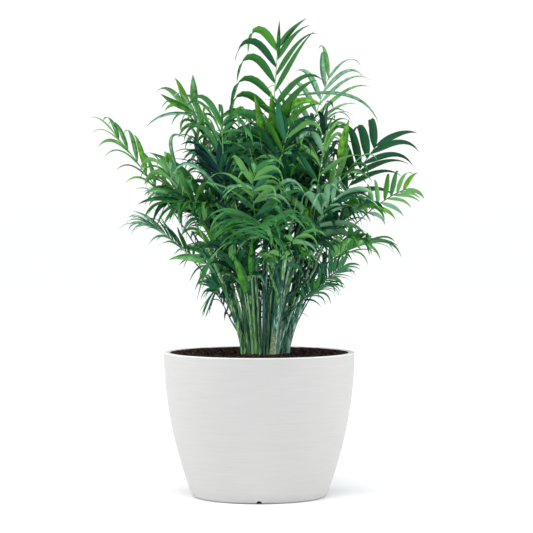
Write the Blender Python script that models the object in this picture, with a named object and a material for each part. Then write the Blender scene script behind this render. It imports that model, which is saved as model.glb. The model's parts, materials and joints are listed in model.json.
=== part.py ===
"""Parlour palm in a plain white pot: a clump of slender canes with arching, feather-like fronds.

Metres, +Z up. The origin is the middle of the pot's flat underside, and the plant is seen from -Y.
Each cane is a solid of its own, and so is each frond, with its rib and leaflets.
"""

import math
import random
from collections import namedtuple

import bmesh
import bpy
from mathutils import Matrix, Vector
from mathutils.bvhtree import BVHTree

UP = Vector((0.0, 0.0, 1.0))
GAP = 0.0003
GOLDEN_ANGLE = math.radians(137.5)

# Pot and soil
POT_HEIGHT = 0.227
POT_TOP_RADIUS = 0.150
POT_BASE_RADIUS = 0.1055
POT_WALL = 0.0093
POT_FLOOR = 0.010
POT_FOOT_ROUND = 0.0045
POT_LIP_ROUND = 0.0008
POT_OUTER_RINGS = 5
POT_INNER_RINGS = 3
POT_SEGMENTS = 40
FOOT_NOTCHES = 3
FOOT_NOTCH_RADIUS = 0.0028
FOOT_NOTCH_DEPTH = 0.012
SOIL_BELOW_LIP = 0.0025
SOIL_TOP = POT_HEIGHT - SOIL_BELOW_LIP

# Canes
CANE_COUNT = 14
CLUMP_X = 0.007
CLUMP_RADIUS = 0.037
CANE_LEAN = math.radians(20.0)
CANE_BEND = 1.25
CANE_TALLEST = 0.250
CANE_SHORTEST = 0.105
CANE_FOOT_RADIUS = 0.0046
CANE_TOP_RADIUS = 0.0027
CANE_FLARE = 1.35
CANE_FLARE_HEIGHT = 0.012
CANE_SIDES = 6
CANE_RUNS = 3
# Ranges of chance: what is added to a cane's height, and what its lean is multiplied by
CANE_HEIGHT_CHANCE = (-0.008, 0.008)
CANE_LEAN_CHANCE = (0.75, 1.1)

# Ribs
RIB_FOOT_RADIUS = 0.0023
RIB_TIP_RADIUS = 0.0010
RIB_TAPER = 0.7
RIB_SIDES = 3
RIB_RUNS = 6
# Sideways pull of a rib as a share of its length, and change of where it leaves, in the order tried
RIB_SWAYS = (0.0, 0.05, -0.05, 0.10, -0.10, 0.16, -0.16, 0.22, -0.22)
RIB_MOVES = (0.0, -0.012, 0.012, -0.024, 0.024)
RIB_CANES = 4
LOWEST_LEAVE = 0.015
RIB_CLEARANCE = 0.00024

# Leaflets
LEAF_STEPS = 24
LEAF_THICKNESS = 0.0115
LEAF_RISE = math.radians(14.0)
LEAF_DROOP_POWER = 2.5
LEAF_ROOT_WIDTH = 0.7
LEAF_ROOT_THICKNESS = 0.3
LEAF_CLEARANCE = 0.0004
# Along its rib: where the last pair stands, and how far the two of a pair stand apart, in pairs
LAST_PAIR = 0.985
PAIR_STAGGER = 0.22
# Ranges of chance: what is added to a leaflet's spread, and what the rest is multiplied by
SPREAD_CHANCE = (-6.0, 6.0)
LENGTH_CHANCE = (0.9, 1.08)
WIDTH_CHANCE = (0.85, 1.05)
DROOP_CHANCE = (0.55, 1.4)
LEAST_DROOP = 0.1
# Faces of a leaflet's root cap and first run, where it may touch its neighbours on the same rib
LEAF_ROOT_FACES = 4
# Slivers in a frond thinner than the first value are closed up. If a face thinner than the second
# value is left, the leaflets are moved by up to the third and the frond is joined again.
SLIVER = 0.000012
THINNEST_FACE = 0.000004
LEAF_NUDGE = 0.00018
UNION_TRIES = 32
# Share of a leaflet's length, and share of its full width there, between its root and its tip
BENT_LEAF = ((0.32, 1.0), (0.66, 0.80))
PLAIN_LEAF = ((0.46, 1.0),)
SMALL_LEAF = 0.060
# Turn about the rib in degrees, change of spread in degrees and change of droop, in the order tried
LEAF_TRIES = (
    (0, 0, 0.0), (14, 0, 0.0), (-14, 0, 0.0), (0, 9, 0.4), (0, -9, -0.4), (26, 0, 0.3),
    (-26, 0, 0.3), (10, 14, -0.5), (-10, -14, 0.6), (38, 6, 0.0), (-38, -6, 0.5), (20, -16, 0.9),
)

# The crown's reach
LOWEST_LEAF = POT_HEIGHT + 0.034
CROWN_TOP = 0.7575
CROWN_REACH = 0.270

# A frond leaves its cane at a height over the soil and ends at its rib's tip. Arch lifts the middle
# of the rib, bare is the share of it without leaflets, spread is the leaflets' angle to the rib in
# degrees at the lowest and the highest pair, droop is how far they hang on the clockwise and on the
# other side, and roll turns the blade about the rib.
Frond = namedtuple("Frond", "name cane leave tip arch bare pairs leaf width spread droop roll")

SHOWN_FRONDS = (
    Frond("top", 2, 0.26, (0.029, -0.062, 0.706), 0.02, 0.40, 6, 0.118, 0.0140, (48, 32), (3.0, 0.5), 10),
    Frond("back_right", 3, 0.25, (0.113, 0.120, 0.668), 0.04, 0.42, 6, 0.104, 0.0130, (50, 24), (1.3, 0.7), 12),
    Frond("upper_left", 1, 0.25, (-0.118, 0.030, 0.608), 0.10, 0.38, 6, 0.094, 0.0140, (55, 25), (1.0, 1.2), 27),
    Frond("far_left", 9, 0.07, (-0.228, 0.010, 0.570), 0.08, 0.52, 6, 0.088, 0.0115, (42, 26), (1.2, 1.1), -24),
    Frond("middle_left", 4, 0.13, (-0.144, -0.060, 0.510), 0.12, 0.42, 6, 0.090, 0.0130, (44, 26), (1.6, 1.5), 8),
    Frond("side_left", 1, 0.16, (-0.134, -0.020, 0.468), 0.16, 0.42, 6, 0.088, 0.0115, (50, 28), (1.8, 1.6), 4),
    Frond("low_left", 12, 0.07, (-0.168, -0.030, 0.424), 0.20, 0.48, 6, 0.080, 0.0100, (40, 24), (1.0, 0.8), -20),
    Frond("young_left", 7, 0.08, (-0.074, -0.100, 0.377), 0.34, 0.80, 1, 0.078, 0.0130, (24, 24), (0.6, 0.6), 75),
    Frond("bottom_left", 12, 0.03, (-0.068, -0.050, 0.326), 0.16, 0.45, 5, 0.056, 0.0095, (75, 45), (1.0, 1.0), 55),
    Frond("far_right", 8, 0.12, (0.184, -0.030, 0.553), 0.10, 0.44, 6, 0.102, 0.0145, (50, 34), (1.8, 0.6), -60),
    Frond("small_right", 13, 0.10, (0.230, -0.020, 0.484), 0.20, 0.60, 6, 0.054, 0.0085, (66, 38), (1.2, 0.8), -55),
    Frond("side_right", 8, 0.10, (0.146, -0.060, 0.447), 0.20, 0.44, 6, 0.088, 0.0125, (50, 28), (1.5, 1.6), -10),
    Frond("middle_right", 5, 0.10, (0.166, -0.090, 0.402), 0.20, 0.46, 6, 0.088, 0.0110, (46, 26), (1.6, 1.5), -14),
    Frond("low_right", 13, 0.06, (0.132, -0.030, 0.364), 0.04, 0.62, 5, 0.046, 0.0080, (60, 35), (0.9, 0.9), -40),
    Frond("bottom_right", 5, 0.05, (0.100, -0.070, 0.336), 0.14, 0.50, 6, 0.054, 0.0080, (55, 32), (1.4, 1.4), -20),
    Frond("front", 10, 0.10, (0.000, -0.170, 0.430), 0.42, 0.46, 6, 0.105, 0.0140, (62, 35), (1.6, 1.6), 0),
)

# The other fronds stand in tiers round the clump, by a rule
Tier = namedtuple("Tier", "name count first_turn leave reach height arch leaf droop")
TIERS = (
    Tier("crown", 5, 20.0, 1.00, 0.052, 0.568, 0.06, 0.104, 1.5),
    Tier("upper", 9, 50.0, 0.88, 0.120, 0.560, 0.12, 0.106, 1.6),
    Tier("middle", 8, 75.0, 0.72, 0.155, 0.485, 0.20, 0.098, 1.5),
    Tier("lower", 6, 100.0, 0.45, 0.115, 0.375, 0.24, 0.082, 1.4),
)
TIER_PAIRS = 5
TIER_BARE = 0.38
TIER_LEAF_WIDTH = 0.0145
TIER_SPREAD = (60, 30)
# Ranges of chance: what is added to a tier's height and roll, and what the rest is multiplied by
TIER_HEIGHT_CHANCE = (-0.035, 0.03)
TIER_ROLL_CHANCE = (-25.0, 25.0)
TIER_REACH_CHANCE = (0.82, 1.12)
TIER_LEAF_CHANCE = (0.88, 1.08)
TIER_DROOP_CHANCE = (0.8, 1.2)
# A tier's fronds leave their canes at heights this share apart, and the highest just past the top
TIER_LEAVE_STEP = 0.08
TIER_LEAVE_MOST = 1.05
# What a cane's earlier fronds count against it when a tier looks for the cane nearest to a frond
CROWDING = 0.022

Cane = namedtuple("Cane", "name foot top height lean")
Leaflet = namedtuple("Leaflet", "root rib_radius along side face length width spread droop")


def remove_everything():
    for obj in list(bpy.data.objects):
        bpy.data.objects.remove(obj, do_unlink=True)


def make_material(name, color, roughness):
    material = bpy.data.materials.new(name)
    material.use_nodes = True
    shader = material.node_tree.nodes["Principled BSDF"]
    shader.inputs["Base Color"].default_value = (*color, 1.0)
    shader.inputs["Roughness"].default_value = roughness
    shader.inputs["Metallic"].default_value = 0.0
    return material


def place_object(name, mesh, material, location, parent):
    obj = bpy.data.objects.new(name, mesh)
    bpy.context.scene.collection.objects.link(obj)
    mesh.materials.clear()
    mesh.materials.append(material)
    obj.location = location
    obj.parent = parent
    return obj


def closed_mesh(name, points, faces):
    """A mesh of the points and faces, with every face turned outward."""
    mesh = bpy.data.meshes.new(name)
    mesh.from_pydata([tuple(point) for point in points], [], faces)
    bm = bmesh.new()
    bm.from_mesh(mesh)
    bmesh.ops.recalc_face_normals(bm, faces=bm.faces)
    if bm.calc_volume(signed=True) < 0.0:
        bmesh.ops.reverse_faces(bm, faces=bm.faces)
    bmesh.ops.triangulate(bm, faces=bm.faces)
    bm.to_mesh(mesh)
    bm.free()
    return mesh


def turned_mesh(name, profile, segments):
    """Turn a profile of (radius, height) points, both ends on the axis, into a closed mesh."""
    points = []
    rings = []
    for radius, height in profile:
        if radius == 0.0:
            rings.append([len(points)] * segments)
            points.append((0.0, 0.0, height))
            continue
        rings.append(list(range(len(points), len(points) + segments)))
        for step in range(segments):
            angle = 2.0 * math.pi * step / segments
            points.append((radius * math.cos(angle), radius * math.sin(angle), height))
    faces = []
    for lower, upper in zip(rings, rings[1:]):
        for step in range(segments):
            after = (step + 1) % segments
            corners = (lower[step], lower[after], upper[after], upper[step])
            faces.append(tuple(dict.fromkeys(corners)))
    return closed_mesh(name, points, faces)


def wall_radius(height):
    """The pot's outer radius: nearly upright at the lip and drawn in towards the foot."""
    below_lip = 1.0 - height / POT_HEIGHT
    return POT_TOP_RADIUS - (POT_TOP_RADIUS - POT_BASE_RADIUS) * below_lip ** 2


def inner_radius(height):
    return wall_radius(height) - POT_WALL


def ring_heights(low, high, runs):
    return [low + (high - low) * ring / runs for ring in range(runs + 1)]


def pot_profile():
    wall_top = POT_HEIGHT - POT_LIP_ROUND
    foot_radius = wall_radius(0.0) - POT_FOOT_ROUND
    profile = [(0.0, 0.0)]
    for degrees in (0, 30, 60, 90):
        out = POT_FOOT_ROUND * math.sin(math.radians(degrees))
        up = POT_FOOT_ROUND * (1.0 - math.cos(math.radians(degrees)))
        profile.append((foot_radius + out, up))
    outer = ring_heights(POT_FOOT_ROUND, wall_top, POT_OUTER_RINGS)
    profile += [(wall_radius(height), height) for height in outer[1:]]
    profile.append((POT_TOP_RADIUS - POT_LIP_ROUND, POT_HEIGHT))
    profile.append((POT_TOP_RADIUS - POT_WALL + POT_LIP_ROUND, POT_HEIGHT))
    inner = ring_heights(POT_FLOOR, wall_top, POT_INNER_RINGS)
    profile += [(inner_radius(height), height) for height in reversed(inner)]
    profile.append((0.0, POT_FLOOR))
    return profile


def soil_profile():
    """The soil fills the pot: its side follows the inside of the wall, just clear of it."""
    rings = ring_heights(POT_FLOOR, POT_HEIGHT - POT_LIP_ROUND, POT_INNER_RINGS)
    profile = [(0.0, POT_FLOOR + GAP), (inner_radius(POT_FLOOR) - GAP, POT_FLOOR + GAP)]
    profile += [(inner_radius(height) - GAP, height) for height in rings[1:-1]]
    share = (SOIL_TOP - rings[-2]) / (rings[-1] - rings[-2])
    top_radius = inner_radius(rings[-2]) * (1.0 - share) + inner_radius(rings[-1]) * share
    profile.append((top_radius - GAP, SOIL_TOP))
    profile.append((0.0, SOIL_TOP))
    return profile


def apply_boolean(obj, collection, operation, solver):
    """Join or cut the object with a collection's objects, keep the result and drop the collection."""
    modifier = obj.modifiers.new(operation.lower(), "BOOLEAN")
    modifier.operation = operation
    modifier.operand_type = "COLLECTION"
    modifier.collection = collection
    modifier.solver = solver
    bpy.context.view_layer.update()
    evaluated = obj.evaluated_get(bpy.context.evaluated_depsgraph_get())
    result = bpy.data.meshes.new_from_object(evaluated)
    obj.modifiers.clear()
    obj.data = result
    for operand in list(collection.objects):
        bpy.data.objects.remove(operand, do_unlink=True)
    bpy.data.collections.remove(collection)


def cut_foot_notches(pot):
    """Half-round drain notches in the edge of the pot's foot, one of them at the front."""
    cutters = bpy.data.collections.new("notch_cutters")
    bpy.context.scene.collection.children.link(cutters)
    for index in range(FOOT_NOTCHES):
        turn = 2.0 * math.pi * index / FOOT_NOTCHES - math.pi / 2.0
        bm = bmesh.new()
        bmesh.ops.create_cone(
            bm, cap_ends=True, segments=10, radius1=FOOT_NOTCH_RADIUS, radius2=FOOT_NOTCH_RADIUS,
            depth=FOOT_NOTCH_DEPTH * 2.0, matrix=Matrix.Rotation(math.pi / 2.0, 4, "Y"),
        )
        mesh = bpy.data.meshes.new(f"notch_{index}")
        bm.to_mesh(mesh)
        bm.free()
        cutter = bpy.data.objects.new(f"notch_{index}", mesh)
        cutter.location = (POT_BASE_RADIUS * math.cos(turn), POT_BASE_RADIUS * math.sin(turn), 0.0)
        cutter.rotation_euler = (0.0, 0.0, turn)
        cutters.objects.link(cutter)
    apply_boolean(pot, cutters, "DIFFERENCE", "EXACT")


def make_canes():
    """Canes spread over a disc like seeds on a flower head: the outer ones are shorter and lean out."""
    canes = []
    for index in range(CANE_COUNT):
        chance = random.Random(f"cane-{index}")
        outward = math.sqrt((index + 0.5) / CANE_COUNT)
        turn = GOLDEN_ANGLE * index
        away = Vector((math.cos(turn), math.sin(turn), 0.0))
        share = index / (CANE_COUNT - 1)
        height = CANE_TALLEST + (CANE_SHORTEST - CANE_TALLEST) * share
        height += chance.uniform(*CANE_HEIGHT_CHANCE)
        angle = CANE_LEAN * outward * chance.uniform(*CANE_LEAN_CHANCE)
        lean = away * math.tan(angle) * height
        foot = Vector((CLUMP_X, 0.0, SOIL_TOP + GAP)) + away * CLUMP_RADIUS * outward
        canes.append(Cane(f"cane_{index + 1:02d}", foot, foot + lean + UP * height, height, lean))
    return canes


def cane_point(cane, share):
    return cane.foot + UP * (cane.height * share) + cane.lean * share ** CANE_BEND


def cane_direction(cane, share):
    return (UP * cane.height + cane.lean * (CANE_BEND * share ** (CANE_BEND - 1.0))).normalized()


def cane_radius(cane, share):
    radius = CANE_FOOT_RADIUS + (CANE_TOP_RADIUS - CANE_FOOT_RADIUS) * share
    flare = max(0.0, 1.0 - share * cane.height / CANE_FLARE_HEIGHT)
    return radius * (1.0 + (CANE_FLARE - 1.0) * flare)


def tube(centres, radii, sides, level_foot=False):
    """A closed tube through the centres, as points and faces."""
    points = []
    faces = []
    sideways = None
    for index, centre in enumerate(centres):
        before = centres[max(index - 1, 0)]
        after = centres[min(index + 1, len(centres) - 1)]
        along = UP if level_foot and index == 0 else (after - before).normalized()
        if sideways is None:
            sideways = along.cross(Vector((0.31, 0.95, 0.05))).normalized()
        sideways = (sideways - along * sideways.dot(along)).normalized()
        across = along.cross(sideways)
        for step in range(sides):
            angle = 2.0 * math.pi * step / sides
            points.append(centre + (sideways * math.cos(angle) + across * math.sin(angle)) * radii[index])
    for ring in range(len(centres) - 1):
        for step in range(sides):
            after = (step + 1) % sides
            low = ring * sides
            high = low + sides
            faces.append((low + step, low + after, high + after, high + step))
    last = (len(centres) - 1) * sides
    faces.append(tuple(reversed(range(sides))))
    faces.append(tuple(range(last, last + sides)))
    return points, faces


def cane_solid(cane):
    flare_share = CANE_FLARE_HEIGHT / cane.height
    shares = [0.0, flare_share] + ring_heights(flare_share, 1.0, CANE_RUNS)[1:]
    centres = [cane_point(cane, share) for share in shares]
    radii = [cane_radius(cane, share) for share in shares]
    return tube(centres, radii, CANE_SIDES, level_foot=True)


def ranked_canes(canes, turn, used):
    """Canes by how far their feet lie in a direction, less what their earlier fronds count."""
    away = Vector((math.cos(turn), math.sin(turn), 0.0))

    def cost(index):
        return used[index] * CROWDING - canes[index].foot.dot(away)

    return sorted(range(len(canes)), key=cost)


def tier_fronds(canes):
    """Tiers of fronds turned by the golden angle, so the crown is as full behind as in front."""
    used = [0] * len(canes)
    for frond in SHOWN_FRONDS:
        used[frond.cane] += 1
    fronds = []
    for tier in TIERS:
        for index in range(tier.count):
            name = f"{tier.name}_{index + 1}"
            chance = random.Random(name)
            turn = math.radians(tier.first_turn) + GOLDEN_ANGLE * index
            reach = tier.reach * chance.uniform(*TIER_REACH_CHANCE)
            height = tier.height + chance.uniform(*TIER_HEIGHT_CHANCE)
            tip = (CLUMP_X + reach * math.cos(turn), reach * math.sin(turn), height)
            cane = ranked_canes(canes, turn, used)[0]
            used[cane] += 1
            step = used[cane] % 3 - 1
            leave = canes[cane].height * min(TIER_LEAVE_MOST, tier.leave + TIER_LEAVE_STEP * step)
            leaf = tier.leaf * chance.uniform(*TIER_LEAF_CHANCE)
            droop = [tier.droop * chance.uniform(*TIER_DROOP_CHANCE) for _ in range(2)]
            fronds.append(Frond(
                name, cane, leave, tip, tier.arch, TIER_BARE, TIER_PAIRS, leaf, TIER_LEAF_WIDTH,
                TIER_SPREAD, droop, chance.uniform(*TIER_ROLL_CHANCE),
            ))
    return fronds


def rib_foot(frond, cane, leave):
    """The point where the rib starts, just clear of its cane's side or on top of its tip."""
    on_top = leave >= cane.height
    share = 1.0 if on_top else leave / cane.height
    centre = cane_point(cane, share)
    heading = Vector(frond.tip) - centre
    heading += UP * (2.0 * frond.arch * heading.length)
    heading.normalize()
    if on_top:
        out = cane_direction(cane, 1.0)
        clear = GAP
    else:
        out = Vector((heading.x, heading.y, 0.0)).normalized()
        clear = cane_radius(cane, share) + GAP
    tilt = math.sqrt(max(0.0, 1.0 - heading.dot(out) ** 2))
    return centre + out * (clear + RIB_FOOT_RADIUS * tilt)


def rib_curve(frond, cane, leave, sway):
    """Three points of the rib's curve: foot, pull and tip. Sway moves the pull sideways."""
    foot = rib_foot(frond, cane, leave)
    tip = Vector(frond.tip)
    chord = tip - foot
    sideways = chord.cross(UP).normalized()
    pull = foot + chord * 0.5 + UP * (frond.arch * chord.length) + sideways * (sway * chord.length)
    return foot, pull, tip


def curve_point(curve, share):
    foot, pull, tip = curve
    return foot.lerp(pull, share).lerp(pull.lerp(tip, share), share)


def curve_direction(curve, share):
    foot, pull, tip = curve
    return (pull.lerp(tip, share) - foot.lerp(pull, share)).normalized()


def rib_radius(share):
    return RIB_FOOT_RADIUS + (RIB_TIP_RADIUS - RIB_FOOT_RADIUS) * share ** RIB_TAPER


def rib_solid(curve, extra=0.0):
    shares = [ring / RIB_RUNS for ring in range(RIB_RUNS + 1)]
    centres = [curve_point(curve, share) for share in shares]
    radii = [rib_radius(share) + extra for share in shares]
    return tube(centres, radii, RIB_SIDES)


def straight_run_point(curve, share):
    """A point on the straight runs between the rib solid's rings."""
    ring = min(int(share * RIB_RUNS), RIB_RUNS - 1)
    start = curve_point(curve, ring / RIB_RUNS)
    end = curve_point(curve, (ring + 1) / RIB_RUNS)
    return start.lerp(end, share * RIB_RUNS - ring)


def leaf_size(place):
    """Share of the frond's longest leaflet by the place on its rib: longest below the middle."""
    return 0.62 + 0.38 * math.sin(math.pi * (0.22 + 0.70 * place))


def frond_leaflets(frond, curve):
    """Leaflets in staggered pairs up the rib, with a pair at its tip that stands like a V."""
    outward = Vector((frond.tip[0] - CLUMP_X, frond.tip[1], 0.0)).normalized()
    level = UP.cross(outward)
    leaflets = []
    for pair in range(frond.pairs + 1):
        for side in (-1, 1):
            chance = random.Random(f"{frond.name}-{pair}-{side}")
            place = min(max((pair + PAIR_STAGGER * side) / frond.pairs, 0.0), 1.0)
            share = frond.bare + (LAST_PAIR - frond.bare) * place
            along = curve_direction(curve, share)
            sideways = (level - along * level.dot(along)).normalized()
            sideways = Matrix.Rotation(math.radians(frond.roll), 3, along) @ sideways
            face = along.cross(sideways)
            lowest, highest = frond.spread
            spread = lowest + (highest - lowest) * place + chance.uniform(*SPREAD_CHANCE)
            leaflets.append(Leaflet(
                straight_run_point(curve, share), rib_radius(share), along, sideways * side, face,
                frond.leaf * leaf_size(place) * chance.uniform(*LENGTH_CHANCE),
                frond.width * chance.uniform(*WIDTH_CHANCE),
                spread, frond.droop[side > 0] * chance.uniform(*DROOP_CHANCE),
            ))
    return leaflets


def leaflet_path(leaflet, attempt):
    """Points, directions and width axes along a leaflet that rises from the rib and then droops."""
    turn, more_spread, more_droop = attempt
    spread = math.radians(leaflet.spread + more_spread)
    rise = LEAF_RISE + math.radians(turn)
    outward = leaflet.side * math.cos(rise) + leaflet.face * math.sin(rise)
    start = leaflet.along * math.cos(spread) + outward * math.sin(spread)
    first_width = leaflet.along * math.sin(spread) - outward * math.cos(spread)
    droop = max(LEAST_DROOP, leaflet.droop + more_droop)
    point = leaflet.root.copy()
    path = []
    for step in range(LEAF_STEPS + 1):
        share = step / LEAF_STEPS
        along = (start - UP * (droop * share ** LEAF_DROOP_POWER)).normalized()
        level = along.cross(UP)
        if level.dot(first_width) < 0.0:
            level = -level
        turned = share * share * (3.0 - 2.0 * share)
        width_axis = first_width.lerp(level, turned)
        width_axis = (width_axis - along * width_axis.dot(along)).normalized()
        path.append((point.copy(), along, width_axis))
        point += along * (leaflet.length / LEAF_STEPS)
    return path


def leaflet_ring(centre, along, width_axis, half_width, thickness):
    """Three points round a leaflet: its two edges, and its keel on the lower side."""
    keel = along.cross(width_axis)
    if keel.z > 0.0:
        keel = -keel
    edge_lift = keel * (thickness / 2.0)
    return [centre - edge_lift - width_axis * half_width, centre - edge_lift + width_axis * half_width,
            centre + edge_lift]


def leaflet_solid(leaflet, attempt, outline, extra=0.0):
    """A lance-shaped leaflet, as points and faces, from a root sunk in the rib to its tip."""
    path = leaflet_path(leaflet, attempt)
    root_width = leaflet.rib_radius * LEAF_ROOT_WIDTH / 2.0 + extra
    root_thickness = leaflet.rib_radius * LEAF_ROOT_THICKNESS + extra
    points = leaflet_ring(*path[0], root_width, root_thickness)
    for share, fullness in outline:
        half_width = leaflet.width / 2.0 * fullness + extra
        thickness = leaflet.length * LEAF_THICKNESS + 2.0 * extra
        points += leaflet_ring(*path[round(share * LEAF_STEPS)], half_width, thickness)
    tip, along, _ = path[-1]
    points.append(tip + along * extra)
    faces = [(0, 1, 2)]
    for low in range(0, 3 * len(outline), 3):
        for step in range(3):
            after = (step + 1) % 3
            faces.append((low + step, low + 3 + step, low + 3 + after, low + after))
    last = 3 * len(outline)
    faces += [(last + step, last + 3, last + (step + 1) % 3) for step in range(3)]
    return points, faces


def box_of(points):
    low = [min(point[axis] for point in points) for axis in range(3)]
    high = [max(point[axis] for point in points) for axis in range(3)]
    return low, high


class Space:
    """The solids placed so far, each with its owner, to keep new ones clear of them."""

    def __init__(self):
        self.taken = []

    def add(self, owner, points, faces):
        low, high = box_of(points)
        self.taken.append((owner, low, high, BVHTree.FromPolygons(points, faces)))

    def is_clear(self, owner, points, faces):
        low, high = box_of(points)
        tree = BVHTree.FromPolygons(points, faces)
        for other, other_low, other_high, other_tree in self.taken:
            apart = any(low[axis] > other_high[axis] or high[axis] < other_low[axis] for axis in range(3))
            if other != owner and not apart and tree.overlap(other_tree):
                return False
        return True


def inside_crown(points):
    lowest = min(point.z for point in points)
    highest = max(point.z for point in points)
    reach = max(math.hypot(point.x, point.y) for point in points)
    return lowest > LOWEST_LEAF and highest < CROWN_TOP and reach < CROWN_REACH


def choose_rib(space, frond, canes):
    """The first rib that passes clear of everything, trying other feet, pulls and nearby canes."""
    wanted = canes[frond.cane]
    nearby = sorted(canes, key=lambda cane: (cane.foot - wanted.foot).length)[:RIB_CANES]
    for cane in nearby:
        for move in RIB_MOVES + (cane.height,):
            for sway in RIB_SWAYS:
                leave = max(LOWEST_LEAVE, frond.leave + move)
                curve = rib_curve(frond, cane, leave, sway)
                if space.is_clear(frond.name, *rib_solid(curve, RIB_CLEARANCE)):
                    return curve
    return None


def choose_leaflets(space, frond, curve):
    """The leaflets that find a clear place, as points and faces. The others are left out."""
    outline = BENT_LEAF if frond in SHOWN_FRONDS and frond.leaf > SMALL_LEAF else PLAIN_LEAF
    chosen = []
    for leaflet in frond_leaflets(frond, curve):
        for attempt in LEAF_TRIES:
            points, faces = leaflet_solid(leaflet, attempt, outline, LEAF_CLEARANCE)
            if inside_crown(points) and space.is_clear(frond.name, points, faces):
                solid = leaflet_solid(leaflet, attempt, outline)
                space.add(frond.name, *solid)
                space.add(f"{frond.name} blades", solid[0], solid[1][LEAF_ROOT_FACES:])
                chosen.append(solid)
                break
    return chosen


def joined_parts(bm):
    """Lists of faces that hang together by their edges, the largest last."""
    unseen = set(bm.faces)
    parts = []
    while unseen:
        part = [unseen.pop()]
        for face in part:
            beside = {other for edge in face.edges for other in edge.link_faces} & unseen
            unseen -= beside
            part.extend(beside)
        parts.append(part)
    return sorted(parts, key=len)


def longest_edge(face):
    return max(face.edges, key=lambda edge: edge.calc_length())


def face_height(face):
    return 2.0 * face.calc_area() / longest_edge(face).calc_length()


def turn_slivers(bm):
    """Turn the long edge of each very thin triangle, where no edge joins the two far corners yet."""
    for face in list(bm.faces):
        if not face.is_valid or face_height(face) > SLIVER:
            continue
        edge = longest_edge(face)
        corners = [vert for beside in edge.link_faces for vert in beside.verts if vert not in edge.verts]
        if len(corners) == 2 and not bm.edges.get(corners):
            bmesh.utils.edge_rotate(edge)


def tidy_union(mesh):
    """Drop scraps and slivers, and say whether the mesh is then one closed body with no thin face."""
    bm = bmesh.new()
    bm.from_mesh(mesh)
    scraps = [face for part in joined_parts(bm)[:-1] for face in part]
    bmesh.ops.delete(bm, geom=scraps, context="FACES")
    bmesh.ops.dissolve_degenerate(bm, dist=SLIVER, edges=bm.edges)
    bmesh.ops.triangulate(bm, faces=bm.faces, quad_method="SHORT_EDGE")
    turn_slivers(bm)
    closed = all(len(edge.link_faces) == 2 for edge in bm.edges)
    whole = len(joined_parts(bm)) == 1
    thinnest = min(face_height(face) for face in bm.faces)
    bm.to_mesh(mesh)
    bm.free()
    return closed and whole and thinnest > THINNEST_FACE


def local_mesh(name, solid, origin):
    points, faces = solid
    return closed_mesh(name, [point - origin for point in points], faces)


def leaflet_collection(frond, leaflets, origin, attempt):
    """The leaflets as objects, each moved by a hair after the first attempt."""
    chance = random.Random(f"{frond.name} {attempt}")
    nudge = LEAF_NUDGE if attempt else 0.0
    collection = bpy.data.collections.new(f"leaflets_{frond.name}")
    bpy.context.scene.collection.children.link(collection)
    for index, solid in enumerate(leaflets):
        name = f"leaflet_{frond.name}_{index}"
        leaflet = bpy.data.objects.new(name, local_mesh(name, solid, origin))
        leaflet.location = origin + Vector([chance.uniform(-nudge, nudge) for _ in range(3)])
        collection.objects.link(leaflet)
    return collection


def make_frond(frond, curve, leaflets, material, parent):
    """Fuse a frond's leaflets to its rib."""
    origin = curve[0]
    name = f"frond_{frond.name}"
    obj = place_object(name, local_mesh(name, rib_solid(curve), origin), material, origin, parent)
    rib = obj.data
    for attempt in range(UNION_TRIES):
        obj.data = rib.copy()
        collection = leaflet_collection(frond, leaflets, origin, attempt)
        apply_boolean(obj, collection, "UNION", "MANIFOLD")
        if tidy_union(obj.data):
            break


def build_pot_and_soil(parent):
    ceramic = make_material("pot_white", (0.78, 0.78, 0.77), 0.55)
    earth = make_material("soil_brown", (0.035, 0.020, 0.014), 0.95)
    pot = place_object("pot", turned_mesh("pot", pot_profile(), POT_SEGMENTS), ceramic, (0, 0, 0), parent)
    cut_foot_notches(pot)
    place_object("soil", turned_mesh("soil", soil_profile(), POT_SEGMENTS), earth, (0, 0, 0), parent)


def build_canes(canes, space, parent):
    stem_green = make_material("cane_green", (0.16, 0.30, 0.13), 0.5)
    for cane in canes:
        solid = cane_solid(cane)
        space.add(cane.name, *solid)
        mesh = local_mesh(cane.name, solid, cane.foot)
        place_object(cane.name, mesh, stem_green, cane.foot, parent)


def build_fronds(canes, space, parent):
    leaf_green = make_material("frond_green", (0.05, 0.22, 0.05), 0.45)
    curves = []
    for frond in SHOWN_FRONDS + tuple(tier_fronds(canes)):
        curve = choose_rib(space, frond, canes)
        if curve is not None:
            curves.append((frond, curve))
            space.add(frond.name, *rib_solid(curve))
    for frond, curve in curves:
        make_frond(frond, curve, choose_leaflets(space, frond, curve), leaf_green, parent)


def main():
    remove_everything()
    palm = bpy.data.objects.new("palm", None)
    bpy.context.scene.collection.objects.link(palm)
    space = Space()
    canes = make_canes()
    build_pot_and_soil(palm)
    build_canes(canes, space, palm)
    build_fronds(canes, space, palm)


if __name__ == "__main__":
    main()
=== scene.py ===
"""Looks of a parlour palm in a plain white pot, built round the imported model.

The canes, ribs and leaflets grow by the same rule as the model's solids, with finer ones between.
Metres, +Z up, seen from -Y.
"""

import json
import random
from collections import namedtuple
from math import cos, hypot, pi, radians, sin, sqrt, tan

import bmesh
import bpy
from mathutils import Matrix, Vector, noise
from mathutils.bvhtree import BVHTree

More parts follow.
